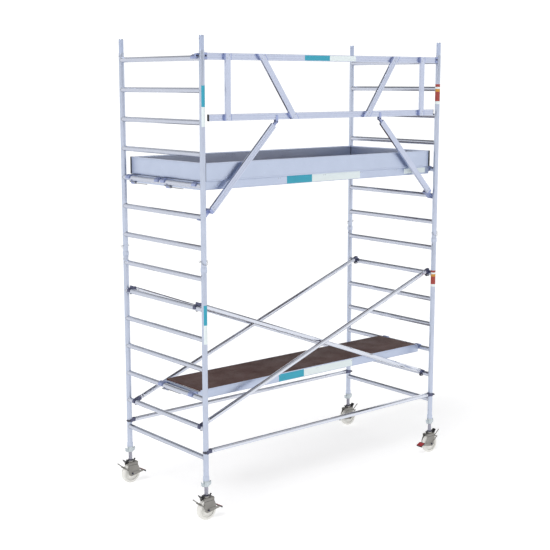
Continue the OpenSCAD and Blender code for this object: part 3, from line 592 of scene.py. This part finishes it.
DIAGONAL = math.atan2(4 * PITCH, 2 * POST_X - 2 * CLAW_IN)
braces = {"near_rising_brace": -1, "near_falling_brace": 1, "far_rising_brace": -1, "far_falling_brace": 1,
          "near_horizontal_brace": 0, "far_horizontal_brace": 0}
brace_rivets, ferrules = [], []
for node, side in braces.items():
    start, end = brace_ends(node, DIAGONAL if side else 0.0, side)
    piece(f"{node}_tube", [brace_shape(start, end)], BRACE_METAL, (node,))
    for foot, head in ((start, end), (end, start)):
        ahead = (head - foot) / np.linalg.norm(head - foot)
        brace_rivets += [
            rivet(foot + ahead * RIVET_IN + Y_AXIS * s * (BRACE_R - 0.4 * MM), (0, s, 0), 4 * MM, 2 * MM)
            for s in (-1, 1)
        ]
        ferrules.append(turned([(r * MM, h * MM) for r, h in FERRULE], foot, ahead))
piece("brace_rivets", brace_rivets, ZINC)
piece("claw_ferrules", ferrules, DARK_CASTING)
dress(DARK_CASTING, "brace_claws")
dress(DARK_ZINC, "brace_latches")

# %% Springs and triggers on the claws
TRIGGER_W = 12 * MM


def coil(centre, axis, radius, length, turns, wire_r=0.9 * MM):
    """A helix of wire: the angle grows with the distance along the axis."""
    t = np.linspace(0, 1, turns * 10 + 1)
    axis, across, third = square_to(axis, (0.3, 0.9, 0.1))
    angle = t * math.tau * turns
    points = (np.asarray(centre, float) + np.outer(t - 0.5, axis) * length
              + radius * (np.outer(np.cos(angle), across) + np.outer(np.sin(angle), third)))
    return wire(points, wire_r, 6)


springs, triggers = [], []
for node, side in braces.items():
    if not side:
        continue
    start, end = brace_ends(node, DIAGONAL, side)
    for foot, number in ((start, 5 if side > 0 else 1), (end, 1 if side > 0 else 5)):
        inward = -1 if foot[0] > 0 else 1
        x, z = -inward * POST_X, rung_height(number)
        springs.append(coil((x + inward * 36 * MM, foot[1], z - 20 * MM), Z_AXIS, 4 * MM, 20 * MM, 5))
        outline = rounded([(27, -33), (36, -33), (47, -20), (47, -6), (41, -4), (38, -18), (27, -24)], 2.5)
        corner = (x, foot[1] + TRIGGER_W / 2 * inward, z)
        triggers.append(plate(outline * MM, TRIGGER_W, corner, X_AXIS * inward, Z_AXIS))
piece("claw_springs", springs, ZINC)
piece("claw_triggers", triggers, DARK_ZINC)

# %% [markdown]
# ## Platforms
# A platform is a light tray: two deep side beams with a lip that holds the board, two end beams
# and five crossbars. The beams are extrusions, so each one is a drawn section carried straight.
# Grooves in the section cost four points each and give the long shadow lines of a real profile.

# %% Beam sections
BEAM_W, BEAM_DROP, BEAM_TOP, DECK_RISE, LIP = 28 * MM, 45 * MM, 29.8 * MM, 40 * MM, 3 * MM
END_BEAM_W, CROSS_W, CROSS_H, CROSSBARS = 30 * MM, 40 * MM, 25 * MM, 5
LIP_BACK = 32 * MM


def groove(level, half=2.2 * MM, depth=1.1 * MM):
    """Four points of a groove in an upright face at depth 0, read upwards."""
    return [(0, level - half), (depth, level - half * 0.5), (depth, level + half * 0.5), (0, level + half)]


def side_section(lip):
    """Section of a side beam. Its outer face is at 0, its board seat at BEAM_TOP, and its lip reaches the
    deck's top, or is cut away."""
    face = groove(-41 * MM) + groove(30 * MM)
    top = [(0, DECK_RISE), (LIP, DECK_RISE), (LIP, BEAM_TOP)] if lip else [(0, BEAM_TOP), (LIP, BEAM_TOP)]
    return np.array([(1 * MM, -BEAM_DROP), (0, 1 * MM - BEAM_DROP)] + face + top
                    + [(BEAM_W - MM, BEAM_TOP), (BEAM_W, BEAM_TOP - MM), (BEAM_W, 1 * MM - BEAM_DROP),
                       (BEAM_W - MM, -BEAM_DROP)])


def extruded(section, x0, x1, y, z, sign):
    """A section carried along X. Its own first axis points along Y, turned over where sign is -1."""
    section = np.asarray(section)
    return loft([ring_at(section, (x, y, z), Y_AXIS * sign, Z_AXIS) for x in (x0, x1)])


# %% Platform frames
platforms = {"lower": 2, "near": 9, "far": 9}
fasteners = []
for name, rung_number in platforms.items():
    low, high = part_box(f"{name}_platform_frame")
    z = rung_height(rung_number)
    shapes = []
    for y, sign in ((low.y, 1), (high.y, -1)):
        shapes.append(extruded(side_section(True), low.x + LIP_BACK, high.x - LIP_BACK, y, z, sign))
        for x0, x1 in ((low.x, low.x + LIP_BACK), (high.x - LIP_BACK, high.x)):
            shapes.append(extruded(side_section(False), x0, x1, y, z, sign))
    middle_z = z + (BEAM_TOP - BEAM_DROP) / 2
    y0, y1 = low.y + BEAM_W - MM, high.y - BEAM_W + MM
    end_outline = box_outline(END_BEAM_W, BEAM_TOP + BEAM_DROP, 2.5 * MM)
    for x in (low.x + END_BEAM_W / 2, high.x - END_BEAM_W / 2):
        shapes.append(bar(end_outline, (x, y0, middle_z), (x, y1, middle_z)))
    spread = [low.x + (k + 1) * (high.x - low.x) / (CROSSBARS + 1) for k in range(CROSSBARS)]
    if name == "near":
        hatch_low, hatch_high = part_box("hatch")
        spread[:2] = [hatch_low.x - CROSS_W / 2 + 10 * MM, hatch_high.x + CROSS_W / 2 - 10 * MM]
    for x in spread:
        top = z + BEAM_TOP - CROSS_H / 2
        shapes.append(bar(box_outline(CROSS_W, CROSS_H, 2 * MM), (x, y0, top), (x, y1, top)))
        for y in (low.y, high.y):
            out = -1 if y == low.y else 1
            fasteners += [
                rivet((x + s * 12 * MM, y - out * 0.3 * MM, top), (0, out, 0), 4 * MM, 2 * MM)
                for s in (-1, 1)
            ]
    piece(f"{name}_platform_beams", shapes, BEAM_METAL, (f"{name}_platform_frame",), crease=25)
piece("platform_rivets", fasteners, ZINC)

# %% [markdown]
# ## Deck boards and the hatch
# The boards are brown film-faced plywood with a wire-mesh print. The near upper board has a hole
# for the hatch, so it is lofted as a thick ring: out along the bottom, up, in along the top and
# down inside the hole, with each outline sharing the same four corners.

# %% Boards
def rectangle(x0, y0, x1, y1, per_side=6):
    """Points along a rectangle, with the same count on every side."""
    corner = np.array([(x0, y0), (x1, y0), (x1, y1), (x0, y1)], float)
    t = np.linspace(0, 1, per_side, endpoint=False)[None, :, None]
    return (corner[:, None] * (1 - t) + np.roll(corner, -1, 0)[:, None] * t).reshape(-1, 2)


HATCH_CLEAR, HATCH_LAP, PIN_PITCH = 2 * MM, 12 * MM, 233 * MM
pins = []
for name in platforms:
    low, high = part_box(f"{name}_platform_deck")
    if name == "near":
        hole = rectangle(hatch_low.x - HATCH_CLEAR, hatch_low.y + HATCH_LAP - HATCH_CLEAR,
                         hatch_high.x + HATCH_CLEAR, hatch_high.y + HATCH_CLEAR)
        rim = rectangle(low.x, low.y, high.x, high.y)
        levels = (rim, low.z), (rim, high.z), (hole, high.z), (hole, low.z)
        shape = loft([ring_at(o, (0, 0, z), X_AXIS, Y_AXIS) for o, z in levels], close_rows=True)
    else:
        outline = box_outline(high.x - low.x, high.y - low.y, 2.5 * MM)
        middle = ((low.x + high.x) / 2, (low.y + high.y) / 2, low.z)
        shape = plate(outline, high.z - low.z, middle, X_AXIS, Y_AXIS)
    piece(f"{name}_deck_board", [shape], DECK_BROWN, (f"{name}_platform_deck",))
    for x in np.arange(low.x + 60 * MM, high.x, PIN_PITCH):
        for y in (low.y + 14 * MM, high.y - 14 * MM):
            pins.append(rivet((x, y, high.z - 0.2 * MM), Z_AXIS, 5 * MM, 1.4 * MM))
piece("deck_pins", pins, ZINC)
dress(DECK_BROWN, "hatch")
dress(ZINC, "hatch_hinges")

# %% Castings at the platforms' ends
dress(CAST_ALUMINIUM, "platform_hooks")
dress(ZINC, *[f"{name}_wind_lock" for name in platforms])
HOOK_IN = 36 * MM
hook_rivets = []
for name, rung_number in platforms.items():
    low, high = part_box(f"{name}_platform_frame")
    z = rung_height(rung_number)
    for x, out in ((low.x, 1), (high.x, -1)):
        hook_rivets += [
            rivet((x + out * 14 * MM, y + s * 16 * MM, z + BEAM_TOP - 0.2 * MM), Z_AXIS, 5 * MM)
            for y in (low.y + HOOK_IN, high.y - HOOK_IN) for s in (-1, 1)
        ]
piece("hook_rivets", hook_rivets, ZINC)

# %% [markdown]
# ## Toe boards
# Wide, thin extrusions stand on edge around the deck. The section is a flat wall with a thicker
# rounded bead at the top and bottom. The black corner pieces stay as packed.

# %% Toe-board sections
TOE_H, TOE_T = 165 * MM, 22 * MM


def toe_section():
    """Half the section is a list of points up one face, itself a bead's points and the same points upside
    down; the other half is the same list turned over."""
    half_t, half_h = TOE_T / 2, TOE_H / 2
    bead = [(3, 0), (0.8, 0.8), (0, 3), (0, 12), (1.2, 13.5)]
    face = [(half_t - x * MM, -half_h + z * MM) for x, z in bead]
    face += [(x, -z) for x, z in face[::-1]]
    return np.concatenate([face, -np.array(face)])


for name in ("near", "far", "left", "right"):
    low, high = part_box(f"{name}_toe_board")
    centre = (np.array(low) + np.array(high)) / 2
    long_way = 0 if name in ("near", "far") else 1
    start, end = centre.copy(), centre.copy()
    start[long_way], end[long_way] = low[long_way], high[long_way]
    piece(f"{name}_toe_board_profile", [bar(toe_section(), start, end)], BEAM_METAL,
          (f"{name}_toe_board",), crease=25)
dress(BLACK_PLASTIC, "toe_board_corners")

# %% [markdown]
# ## Guardrail
# Two rectangular rails are tied by two uprights and two leaning bars that lap their outer face.
# Each lap is held by two rivets, and a small cast saddle grips the rail beside it. The leaning
# bars are lofts between a level ring at the bottom and one at the top, so their ends come out
# level, as they are cut.

# %% Rails
RAIL_H, RAIL_W, UPRIGHT_W = 60 * MM, 25 * MM, 55 * MM
TOP_RAIL_Z = rung_height(13) + 15 * MM
LOW_RAIL_Z = TOP_RAIL_Z - 535 * MM
RAIL_Y = -POST_Y - 8 * MM
LAP_Y = RAIL_Y - 0.2 * MM - RAIL_W
LOW_END, TOP_END, UPRIGHT_X = POST_X - 70 * MM, POST_X - 36 * MM, POST_X - 268 * MM


def rail_section(width, height, rims=2.4 * MM):
    """A rectangle with round corners and two grooves on each wide face, built up as above."""
    w, h = width / 2, height / 2
    level, wide, deep = -0.36 * h, 2.2 * MM, 1.1 * MM
    face = [(w - rims, -h), (w - 0.7 * MM, -h + 0.7 * MM), (w, -h + rims), (w, level - wide),
            (w - deep, level - MM), (w - deep, level + MM), (w, level + wide)]
    face += [(x, -z) for x, z in face[::-1]]
    return np.concatenate([face, -np.array(face)])


rail_y = RAIL_Y + RAIL_W / 2
lap_y = LAP_Y + RAIL_W / 2
section = rail_section(RAIL_W, RAIL_H)
rails = [
    bar(section, (-end, rail_y, z), (end, rail_y, z))
    for end, z in ((TOP_END, TOP_RAIL_Z), (LOW_END, LOW_RAIL_Z))
]
LOW_EDGE, HIGH_EDGE = LOW_RAIL_Z - RAIL_H / 2, TOP_RAIL_Z + RAIL_H / 2
TOP_INSET, LOW_INSET = 666 * MM, 1040 * MM
RUN = (LOW_INSET - TOP_INSET) * (HIGH_EDGE - LOW_EDGE) / (TOP_RAIL_Z - LOW_RAIL_Z)
SLANT = math.hypot(RUN, HIGH_EDGE - LOW_EDGE) / (HIGH_EDGE - LOW_EDGE)
uprights, lap_rivets, saddles = [], [], []
for side in (-1, 1):
    x = side * UPRIGHT_X
    wide_section = rail_section(RAIL_W, UPRIGHT_W)
    uprights.append(bar(wide_section, (x, lap_y, LOW_EDGE), (x, lap_y, HIGH_EDGE), up=X_AXIS))
    middle = side * (POST_X - (TOP_INSET + LOW_INSET) / 2)
    lean = [
        np.stack([middle + t * side * RUN / 2 + section[:, 1] * SLANT, lap_y + section[:, 0],
                  np.full(len(section), z)], -1)
        for t, z in ((-1, LOW_EDGE), (1, HIGH_EDGE))
    ]
    uprights.append(loft(lean))
    for z in (LOW_RAIL_Z, TOP_RAIL_Z):
        t = (z - (LOW_EDGE + HIGH_EDGE) / 2) / (HIGH_EDGE - LOW_EDGE)
        for at, wide in ((x, UPRIGHT_W), (middle + t * side * RUN, RAIL_H * SLANT)):
            lap_rivets += [
                rivet((at + s * 13 * MM, LAP_Y - 0.1 * MM, z + s * 13 * MM), -Y_AXIS, 4.5 * MM, 2.2 * MM)
                for s in (-1, 1)
            ]
            grip = box_outline(12 * MM, 58 * MM, 2.5 * MM, 4)
            lean_here = side * RUN / (HIGH_EDGE - LOW_EDGE) if at != x else 0.0
            grip = grip + np.stack([grip[:, 1] * lean_here, grip[:, 1] * 0], -1)
            for s in (-1, 1):
                corner = (at + s * (wide / 2 + 5 * MM), RAIL_Y - 0.3 * MM, z)
                saddles.append(plate(grip, RAIL_W - 3 * MM, corner, X_AXIS, Z_AXIS))
bolts, cheeks = [], []
PIVOT_DROP, PIVOT_INSET = 50 * MM, 850 * MM
PIVOT_X = POST_X - PIVOT_INSET
for side in (-1, 1):
    pivot = np.array([side * PIVOT_X, 0, LOW_RAIL_Z - PIVOT_DROP])
    cheek = rounded([(-14, 62), (-14, -8), (-8, -14), (8, -14), (14, -8), (14, 62)], 6) * MM
    for y in (RAIL_Y - 0.3 * MM, RAIL_Y + RAIL_W + 3.3 * MM):
        cheeks.append(plate(cheek, 3 * MM, pivot + Y_AXIS * y, X_AXIS, Z_AXIS))
    for y, out in ((RAIL_Y - 3.3 * MM, -1), (RAIL_Y + RAIL_W + 3.3 * MM, 1)):
        bolts.append(rivet(pivot + Y_AXIS * y, (0, out, 0), 7 * MM, 4 * MM))
    pin = [(5 * MM, 0), (5 * MM, RAIL_W + 4 * MM)]
    bolts.append(turned(pin, pivot + Y_AXIS * (RAIL_Y - 2 * MM), Y_AXIS, 20))
piece("guardrail_rails", rails, RAIL_METAL, ("guardrail_frame",), crease=25)
piece("guardrail_uprights", uprights, RAIL_METAL, crease=25)
piece("guardrail_saddles", saddles, CAST_ALUMINIUM)
piece("guardrail_rivets", lap_rivets, ZINC)
piece("pivot_cheeks", cheeks, CAST_ALUMINIUM)
piece("pivot_pins", bolts, DARK_ZINC)
dress(BLACK_PLASTIC, "guardrail_end_plugs")
dress(CAST_ALUMINIUM, "guardrail_hooks")

# %% Fittings at the top rail's ends
fittings, fitting_bolts = [], []
for side in (-1, 1):
    for y, corners in ((RAIL_Y - 0.2 * MM, [(20, -24), (52, -30), (52, 32), (20, 32)]),
                       (-POST_Y + 24 * MM, [(-52, -14), (-22, -20), (-22, 28), (-52, 22)])):
        outline = rounded(corners, 4) * MM * (-side, 1)
        fittings.append(plate(outline, 5 * MM, (side * POST_X, y, TOP_RAIL_Z), X_AXIS, Z_AXIS))
        middle_x = side * (POST_X - (corners[0][0] + corners[1][0]) / 2 * MM)
        fitting_bolts += hex_bolt((middle_x, y - 5 * MM, TOP_RAIL_Z + 4 * MM), -Y_AXIS)
piece("rail_end_fittings", fittings, CAST_ALUMINIUM)
piece("rail_end_bolts", fitting_bolts, DARK_ZINC)

# %% [markdown]
# ## Guardrail legs
# Each leg hangs from a pin under the lower rail and hooks its claw on a rung further down. It
# turns as one body, so its tube, tongue and claw are lofted in the leg's own axes: one along it
# from the pin, one square to it.

# %% Legs
LEG_FOOT_INSET, LEG_FOOT_RISE, LEG_START = 100 * MM, 58 * MM, 45 * MM
LEG_RUN = PIVOT_INSET - LEG_FOOT_INSET
LEG_DROP = LOW_RAIL_Z - PIVOT_DROP - rung_height(8) - LEG_FOOT_RISE
LEG_LENGTH, LEG_ANGLE = math.hypot(LEG_RUN, LEG_DROP), math.atan2(LEG_DROP, LEG_RUN)
RUNG_ALONG = math.cos(LEG_ANGLE) * PIVOT_INSET + math.sin(LEG_ANGLE) * (LEG_DROP + LEG_FOOT_RISE)
RUNG_ACROSS = math.cos(LEG_ANGLE) * (LEG_DROP + LEG_FOOT_RISE) - math.sin(LEG_ANGLE) * PIVOT_INSET
JAW = RUNG_R + 8.3 * MM


def claw_outline():
    """An arm and half a ring: the outer arc round the rung's centre, then the inner arc back."""
    t = np.linspace(0, math.pi, 14)
    centre = np.array([RUNG_ALONG, RUNG_ACROSS])
    outer = centre + JAW * np.stack([np.cos(t), np.sin(t)], -1)
    inner = centre + (RUNG_R + 0.4 * MM) * np.stack([np.cos(t[::-1]), np.sin(t[::-1])], -1)
    arm = np.array([(LEG_LENGTH + 12 * MM, RUNG_ACROSS + 6 * MM), (LEG_LENGTH + 12 * MM, 14 * MM),
                    (RUNG_ALONG - 8 * MM, 14 * MM)])
    outer = outer[outer[:, 0] > RUNG_ALONG - 6 * MM]
    return np.concatenate([outer, arm[::-1], inner])


for side, name in ((-1, "left"), (1, "right")):
    node = f"{name}_guardrail_leg"
    pivot = np.array([side * PIVOT_X, 0, LOW_RAIL_Z - PIVOT_DROP])
    along = np.array([side * math.cos(LEG_ANGLE), 0, -math.sin(LEG_ANGLE)])
    across = np.array([-side * math.sin(LEG_ANGLE), 0, -math.cos(LEG_ANGLE)])
    depth = Y_AXIS * rail_y
    tube = bar(section, pivot + depth + along * LEG_START, pivot + depth + along * LEG_LENGTH, up=-across)
    tongue = rounded([(-12, -8), (-8, -13), (100, -13), (100, 13), (-8, 13), (-12, 8)], 5) * MM
    flip = side > 0
    tongue_y = RAIL_Y + (2.2 if flip else RAIL_W / MM - 2.2) * MM
    shapes = [plate(tongue, RAIL_W - 4.4 * MM, pivot + Y_AXIS * tongue_y, along, across)]
    piece(f"{node}_tube", [tube], RAIL_METAL, (node,), node, crease=25)
    piece(f"{node}_tongue", shapes, CAST_ALUMINIUM, body=node)
    block = rounded([(0.2, -26), (24, -24), (26, 22), (0.2, 26)], 5) * MM + (LEG_LENGTH, 0)
    depth_block, depth_claw = 86 * MM, 40 * MM
    y_block = RAIL_Y + (0.2 * MM if flip else depth_block)
    y_claw = -POST_Y + 32 * MM + (0 if flip else depth_claw)
    claw = [
        plate(block, depth_block, pivot + Y_AXIS * y_block, along, across),
        plate(claw_outline(), depth_claw, pivot + Y_AXIS * y_claw, along, across),
    ]
    piece(f"{node}_claw", claw, CAST_ALUMINIUM, body=node)
    foot = pivot + depth + along * (LEG_LENGTH - 22 * MM)
    foot_rivets = [
        rivet(foot + across * s * 14 * MM - Y_AXIS * RAIL_W / 2, -Y_AXIS, 4.5 * MM, 2.2 * MM) for s in (-1, 1)
    ]
    piece(f"{node}_rivets", foot_rivets, ZINC, body=node)

# %% [markdown]
# ## Castors
# All four castors are the same; the two on the right are turned by half a turn, so every pedal
# points inwards. Each is drawn once around its own axis, standing on the floor, and then placed.
# Its five bodies keep their own pieces, because each one turns or slides by itself.

# %% Castor parts around their own axis
WHEEL_R, SPINDLE_Z, NUT_Z, THREAD_L, SPINDLE_L = (v * MM for v in (100, 242.3, 326.3, 340, 600))
PLATE_Y, PLATE_T, CHEEK_T, YOKE_X, YOKE_L = (v * MM for v in (30.5, 4, 3, -48, 116))
PLATE_OUT = PLATE_Y + PLATE_T
CHEEK_Y = PLATE_OUT + 0.3 * MM
CHEEK_OUT = CHEEK_Y + CHEEK_T


def threaded(radius, depth, pitch, thread_end, end, base, count=28):
    """A screw: the depth of each point follows its height less its share of a turn, so the ridge climbs by
    one pitch in each turn. Above thread_end it is plain."""
    heights = np.concatenate([np.arange(0, thread_end, pitch / 8), [thread_end, end]])
    angle = np.linspace(0, math.tau, count, endpoint=False)
    turn = (heights[:, None] / pitch - angle[None] / math.tau) % 1
    dip = np.clip(np.abs(turn - 0.5) * 4 - 0.6, 0, 1) * depth
    dip[heights >= thread_end] = 0
    dip *= np.clip(heights / (2 * pitch), 0, 1)[:, None]
    r = radius - dip
    z = np.broadcast_to(heights[:, None] + base, r.shape)
    return loft(np.stack([r * np.cos(angle), r * np.sin(angle), z], -1))


def upright(profile, hollow=False, count=36):
    """A lathe part around the castor's own axis, from (radius, height) in millimetres."""
    return turned([(r * MM, h * MM) for r, h in profile], (0, 0, 0), Z_AXIS, count, hollow)


def across_wheel(profile, hollow=False, count=64):
    """A lathe part around the wheel's axle."""
    return turned([(r * MM, h * MM) for r, h in profile], (0, 0, WHEEL_R), Y_AXIS, count, hollow)


def slab(corners, radius, low, thickness, z=0.0, edge=0.7 * MM):
    """A flat part in the XZ plane, from y = low to y = low + thickness, with its corners rounded."""
    return plate(rounded(corners, radius) * MM, thickness, (0, low + thickness, z), X_AXIS, Z_AXIS, edge)


fork_side = [(-48, 111), (68, 111), (66, 88), (88, 40), (86, -8), (60, -14), (-14, -28), (-40, -10)]
shoulder = [(-48, 90), (66, 90), (69, 111.5), (-49, 111.5)]
arm = [(-14, 6), (-8, 15), (8, 16), (106, 20), (128, 17), (128, -1), (8, -15), (-10, -14)]
half_wheel = [(6.05, 29), (27.5, 29), (29.5, 28), (30.5, 23), (33.5, 15), (38, 13), (66, 12.4), (70, 13.6),
              (73, 18), (74.2, 23.6), (76, 25), (90, 25), (93.4, 24.3), (96.8, 22.2), (99, 18.6), (100, 13)]
nut_body = [(19.4, 0), (26.6, 0), (28, 1.4), (28, 38), (28.6, 40.5), (30, 43), (30, 54), (29, 55), (19.4, 55)]
crown = [(-34.5, 206), (-34.5, 218), (34.5, 218), (34.5, 206), (30.5, 206), (30.5, 212), (-30.5, 212),
         (-30.5, 206)]
bearing_cup = [(8.4, 217.5), (29.5, 217.5), (29.5, 219.5), (28, 221.5), (28, 228.6), (26.8, 230), (8.4, 230)]
long_spring = [(-46, 206), (-62, 216), (-82, 246), (-79, 252), (-60, 229), (-50, 219), (-46, 218)]
seal = [(6.2, 28.6), (17, 28.6), (17.6, 29.3), (16.6, 29.6), (6.2, 29.6)]
pad_core = [(106, 18), (106, 25.6), (112, 25.6), (162, 1.6), (160, -12), (154, -12), (152, -2), (112, 18)]
turn_140 = math.radians(140)
release_ahead = np.array([math.cos(turn_140), 0, math.sin(turn_140)])
release_up = np.array([-math.sin(turn_140), 0, math.cos(turn_140)])
release_root = np.array([0, 0, WHEEL_R])
wing = [(-7, 1), (12, 0), (19, 5), (27, 15), (29, 43), (24, 46), (19, 45), (12, 35), (-7, 35)]

castor_parts = {
    ("spindle", "thread", "spindle"): (SPINDLE_ZINC, [
        threaded(19 * MM, 1.25 * MM, 8 * MM, THREAD_L, SPINDLE_L, SPINDLE_Z)]),
    ("spindle", "bearing_head", "spindle"): (DARK_ZINC, [
        upright([(24, 233.2), (30, 233.2), (31, 234.4), (31, 239.6), (29.6, 241.4), (25, 242), (21.5, 243.5),
                 (19.6, 247)]),
        upright([(8, 205), (8, 233)])]),
    ("spindle", "seal_ring", "nut"): (NYLON, [
        upright([(22, 230.4), (29.6, 230.4), (30.2, 231.2), (30, 233), (22, 233)])]),
    ("leg_nut", "body", "nut"): (NUT_CASTING, [
        shifted(upright(nut_body, hollow=True), z=NUT_Z)] + [
        slab([(s * (28 + x), z) for x, z in wing], 4, -7 * MM, 14 * MM, NUT_Z, 1.6 * MM) for s in (-1, 1)]),
    ("fork", "yoke", "fork"): (FORK_STEEL, [
        plate(rounded(crown, 3.2) * MM, YOKE_L, X_AXIS * YOKE_X, Y_AXIS, Z_AXIS, 0.8 * MM),
        upright(bearing_cup, hollow=True)]
        + [slab(fork_side, 6, y, PLATE_T, WHEEL_R) for y in (-PLATE_OUT, PLATE_Y)]
        + [slab(shoulder, 2, y, 1.4 * MM, WHEEL_R, 0.6 * MM)
           for y in (-PLATE_OUT - 1.2 * MM, PLATE_OUT - 0.2 * MM)]),
    ("fork", "brake_springs", "fork"): (BLACK_PLASTIC, [
        slab(long_spring, 2, -22 * MM, 44 * MM),
        slab([(-52, 216), (-48, 230), (-37, 246), (-33, 242), (-41, 226), (-44, 217)], 2, -16 * MM, 32 * MM),
        slab([(33, 217), (36, 232), (55, 248), (59, 244), (44, 228), (42, 217)], 2, -8 * MM, 16 * MM)]
        # The two thin black strips below are painted shade: they stand in for the shadow line under the
        # shoulder's fold on each fork plate, and are not parts of the castor.
        + [slab([(-48.5, 186.5), (67, 186.5), (67, 190), (-48.5, 190)], 1, y, 0.8 * MM, edge=0.2 * MM)
           for y in (-PLATE_OUT - 0.6 * MM, PLATE_OUT - 0.2 * MM)]),
    ("fork", "axle", "rivet"): (DARK_ZINC, [across_wheel([(6, -39.5), (6, 39.5)], count=28)] + sum(
        (hex_bolt((0, s * 38.2 * MM, WHEEL_R), (0, s, 0), 17 * MM, 6.5 * MM, 10 * MM) for s in (-1, 1)), [])),
    ("wheel", "tyre_and_web", "wheel"): (NYLON, [
        across_wheel([(r, -h) for r, h in half_wheel] + half_wheel[::-1], hollow=True, count=96)]),
    ("wheel", "bearing_seals", "wheel"): (DARK_ZINC, [
        across_wheel([(r, s * h) for r, h in seal], True, 40) for s in (-1, 1)]),
    ("brake_pedal", "arms", "pedal"): (FORK_STEEL, [
        slab(arm, 4, y, CHEEK_T, WHEEL_R) for y in (-CHEEK_OUT, CHEEK_Y)] + [
        plate(rounded([(-8, -5), (118, -6), (118, 6), (-8, 5)], 3) * MM, CHEEK_T, release_root + (0, y, 0),
              release_ahead, release_up) for y in (-CHEEK_Y, CHEEK_OUT)]),
    ("brake_pedal", "foot_pad", "pedal"): (RED_PAINT, [
        slab([(112.4, 24.4), (113, 26.2), (161.6, 2.9), (160.8, 1)], 0.5, -CHEEK_Y + 0.5 * MM,
             2 * CHEEK_Y - 1 * MM, WHEEL_R, 0.4 * MM)]),
    ("brake_pedal", "pad_core", "black_plastic"): (BLACK_PLASTIC, [
        slab(pad_core, 1.2, -CHEEK_OUT, 2 * CHEEK_OUT, WHEEL_R, 0.8 * MM)]),
    ("brake_pedal", "release_bar", "pedal"): (FORK_STEEL, [
        plate(rounded([(106, -9), (111, -9), (111, 9), (106, 9)], 1.5) * MM, 2 * CHEEK_OUT,
              release_root + (0, CHEEK_OUT, 0), release_ahead, release_up),
        turned([(r * MM, h * MM) for r, h in ((5, 0), (5, 84), (6, 86), (6, 89), (4.4, 92))],
               release_root + release_ahead * 108 * MM, release_ahead, 20)]),
}

# %% Place the four castors
for name, (sign_x, sign_y) in CORNERS.items():
    half_turn = Matrix.Rotation(math.pi * (sign_x > 0), 4, "Z")
    place = Matrix.Translation((sign_x * POST_X, sign_y * POST_Y, 0)) @ half_turn
    placed = set()
    for (part, label, slot), (material, shapes) in castor_parts.items():
        node = f"{name}_{part}"
        piece(f"{node}_{label}", [moved(shape, place) for shape in shapes], material,
              () if node in placed else (node,), node)
        placed.add(node)

# %% [markdown]
# ## Blank stripes
# The tower carries coloured stripes. They are plain films here, with no lettering: thin curved
# shells on the posts and thin plates on the rail and the beams.

# %% Stripes
FILM = 0.3 * MM


def post_films(corner, facing, half_angle, *spans):
    """Thin shells that wrap part of a post, their middle at that compass angle in degrees, one for each span
    of heights."""
    angle = np.radians(np.linspace(facing - half_angle, facing + half_angle, 18))
    arc = np.stack([np.cos(angle), np.sin(angle)], -1)
    middle = corner[0] * POST_X, corner[1] * POST_Y
    outline = np.concatenate([arc * (POST_R + FILM), arc[::-1] * (POST_R - 0.5 * MM)]) + middle
    return [loft([ring_at(outline, (0, 0, z), X_AXIS, Y_AXIS) for z in span]) for span in spans]


def flat_films(z, below, above, y, *spans):
    """Thin plates on a face that looks along -Y, from below to above a level z, one for each span of X."""
    outlines = [
        box_outline(x1 - x0, above + below, 2 * MM) + ((x0 + x1) / 2, z + (above - below) / 2)
        for x0, x1 in spans
    ]
    origin = (0, y + 0.1 * MM, 0)
    return [plate(outline, FILM + 0.1 * MM, origin, X_AXIS, Z_AXIS, 0.1 * MM) for outline in outlines]


LEFT, RIGHT = (CORNERS["near_left"], -90, 50), (CORNERS["near_right"], -130, 85)
RAIL_BAND = TOP_RAIL_Z, 24 * MM, 24 * MM, RAIL_Y
UPPER_BAND = rung_height(9), 40 * MM, 32 * MM, -POST_Y + 69 * MM
SMALL_BAND = rung_height(9), 30 * MM, 22 * MM, -POST_Y + 69 * MM
LOWER_BAND = rung_height(2), 40 * MM, 32 * MM, -POST_Y + 164 * MM
films = {
    "teal_stripes": (TEAL_FILM, post_films(*LEFT, (3.813, 3.999), (1.856, 2.040))
                     + flat_films(*RAIL_BAND, (-0.333, -0.015)) + flat_films(*UPPER_BAND, (-0.486, -0.167))
                     + flat_films(*LOWER_BAND, (-0.504, -0.176))),
    "white_stripes": (WHITE_FILM, post_films(*LEFT, (3.640, 3.813), (1.680, 1.856))
                      + post_films(*RIGHT, (3.957, 3.978), (3.80, 3.83), (1.858, 1.885), (1.995, 2.012))
                      + flat_films(*RAIL_BAND, (-0.015, 0.329)) + flat_films(*UPPER_BAND, (-0.167, 0.479))
                      + flat_films(*SMALL_BAND, (1.115, 1.262), (1.290, 1.435))
                      + flat_films(*LOWER_BAND, (-0.176, 0.492))),
    "red_stripes": (RED_FILM, post_films(
        *RIGHT, (3.978, 4.006), (3.83, 3.928), (2.012, 2.034), (1.885, 1.968))),
    "yellow_stripes": (YELLOW_FILM, post_films(*RIGHT, (3.928, 3.957), (1.968, 1.995))),
}
for name, (material, shapes) in films.items():
    piece(name, shapes, material)
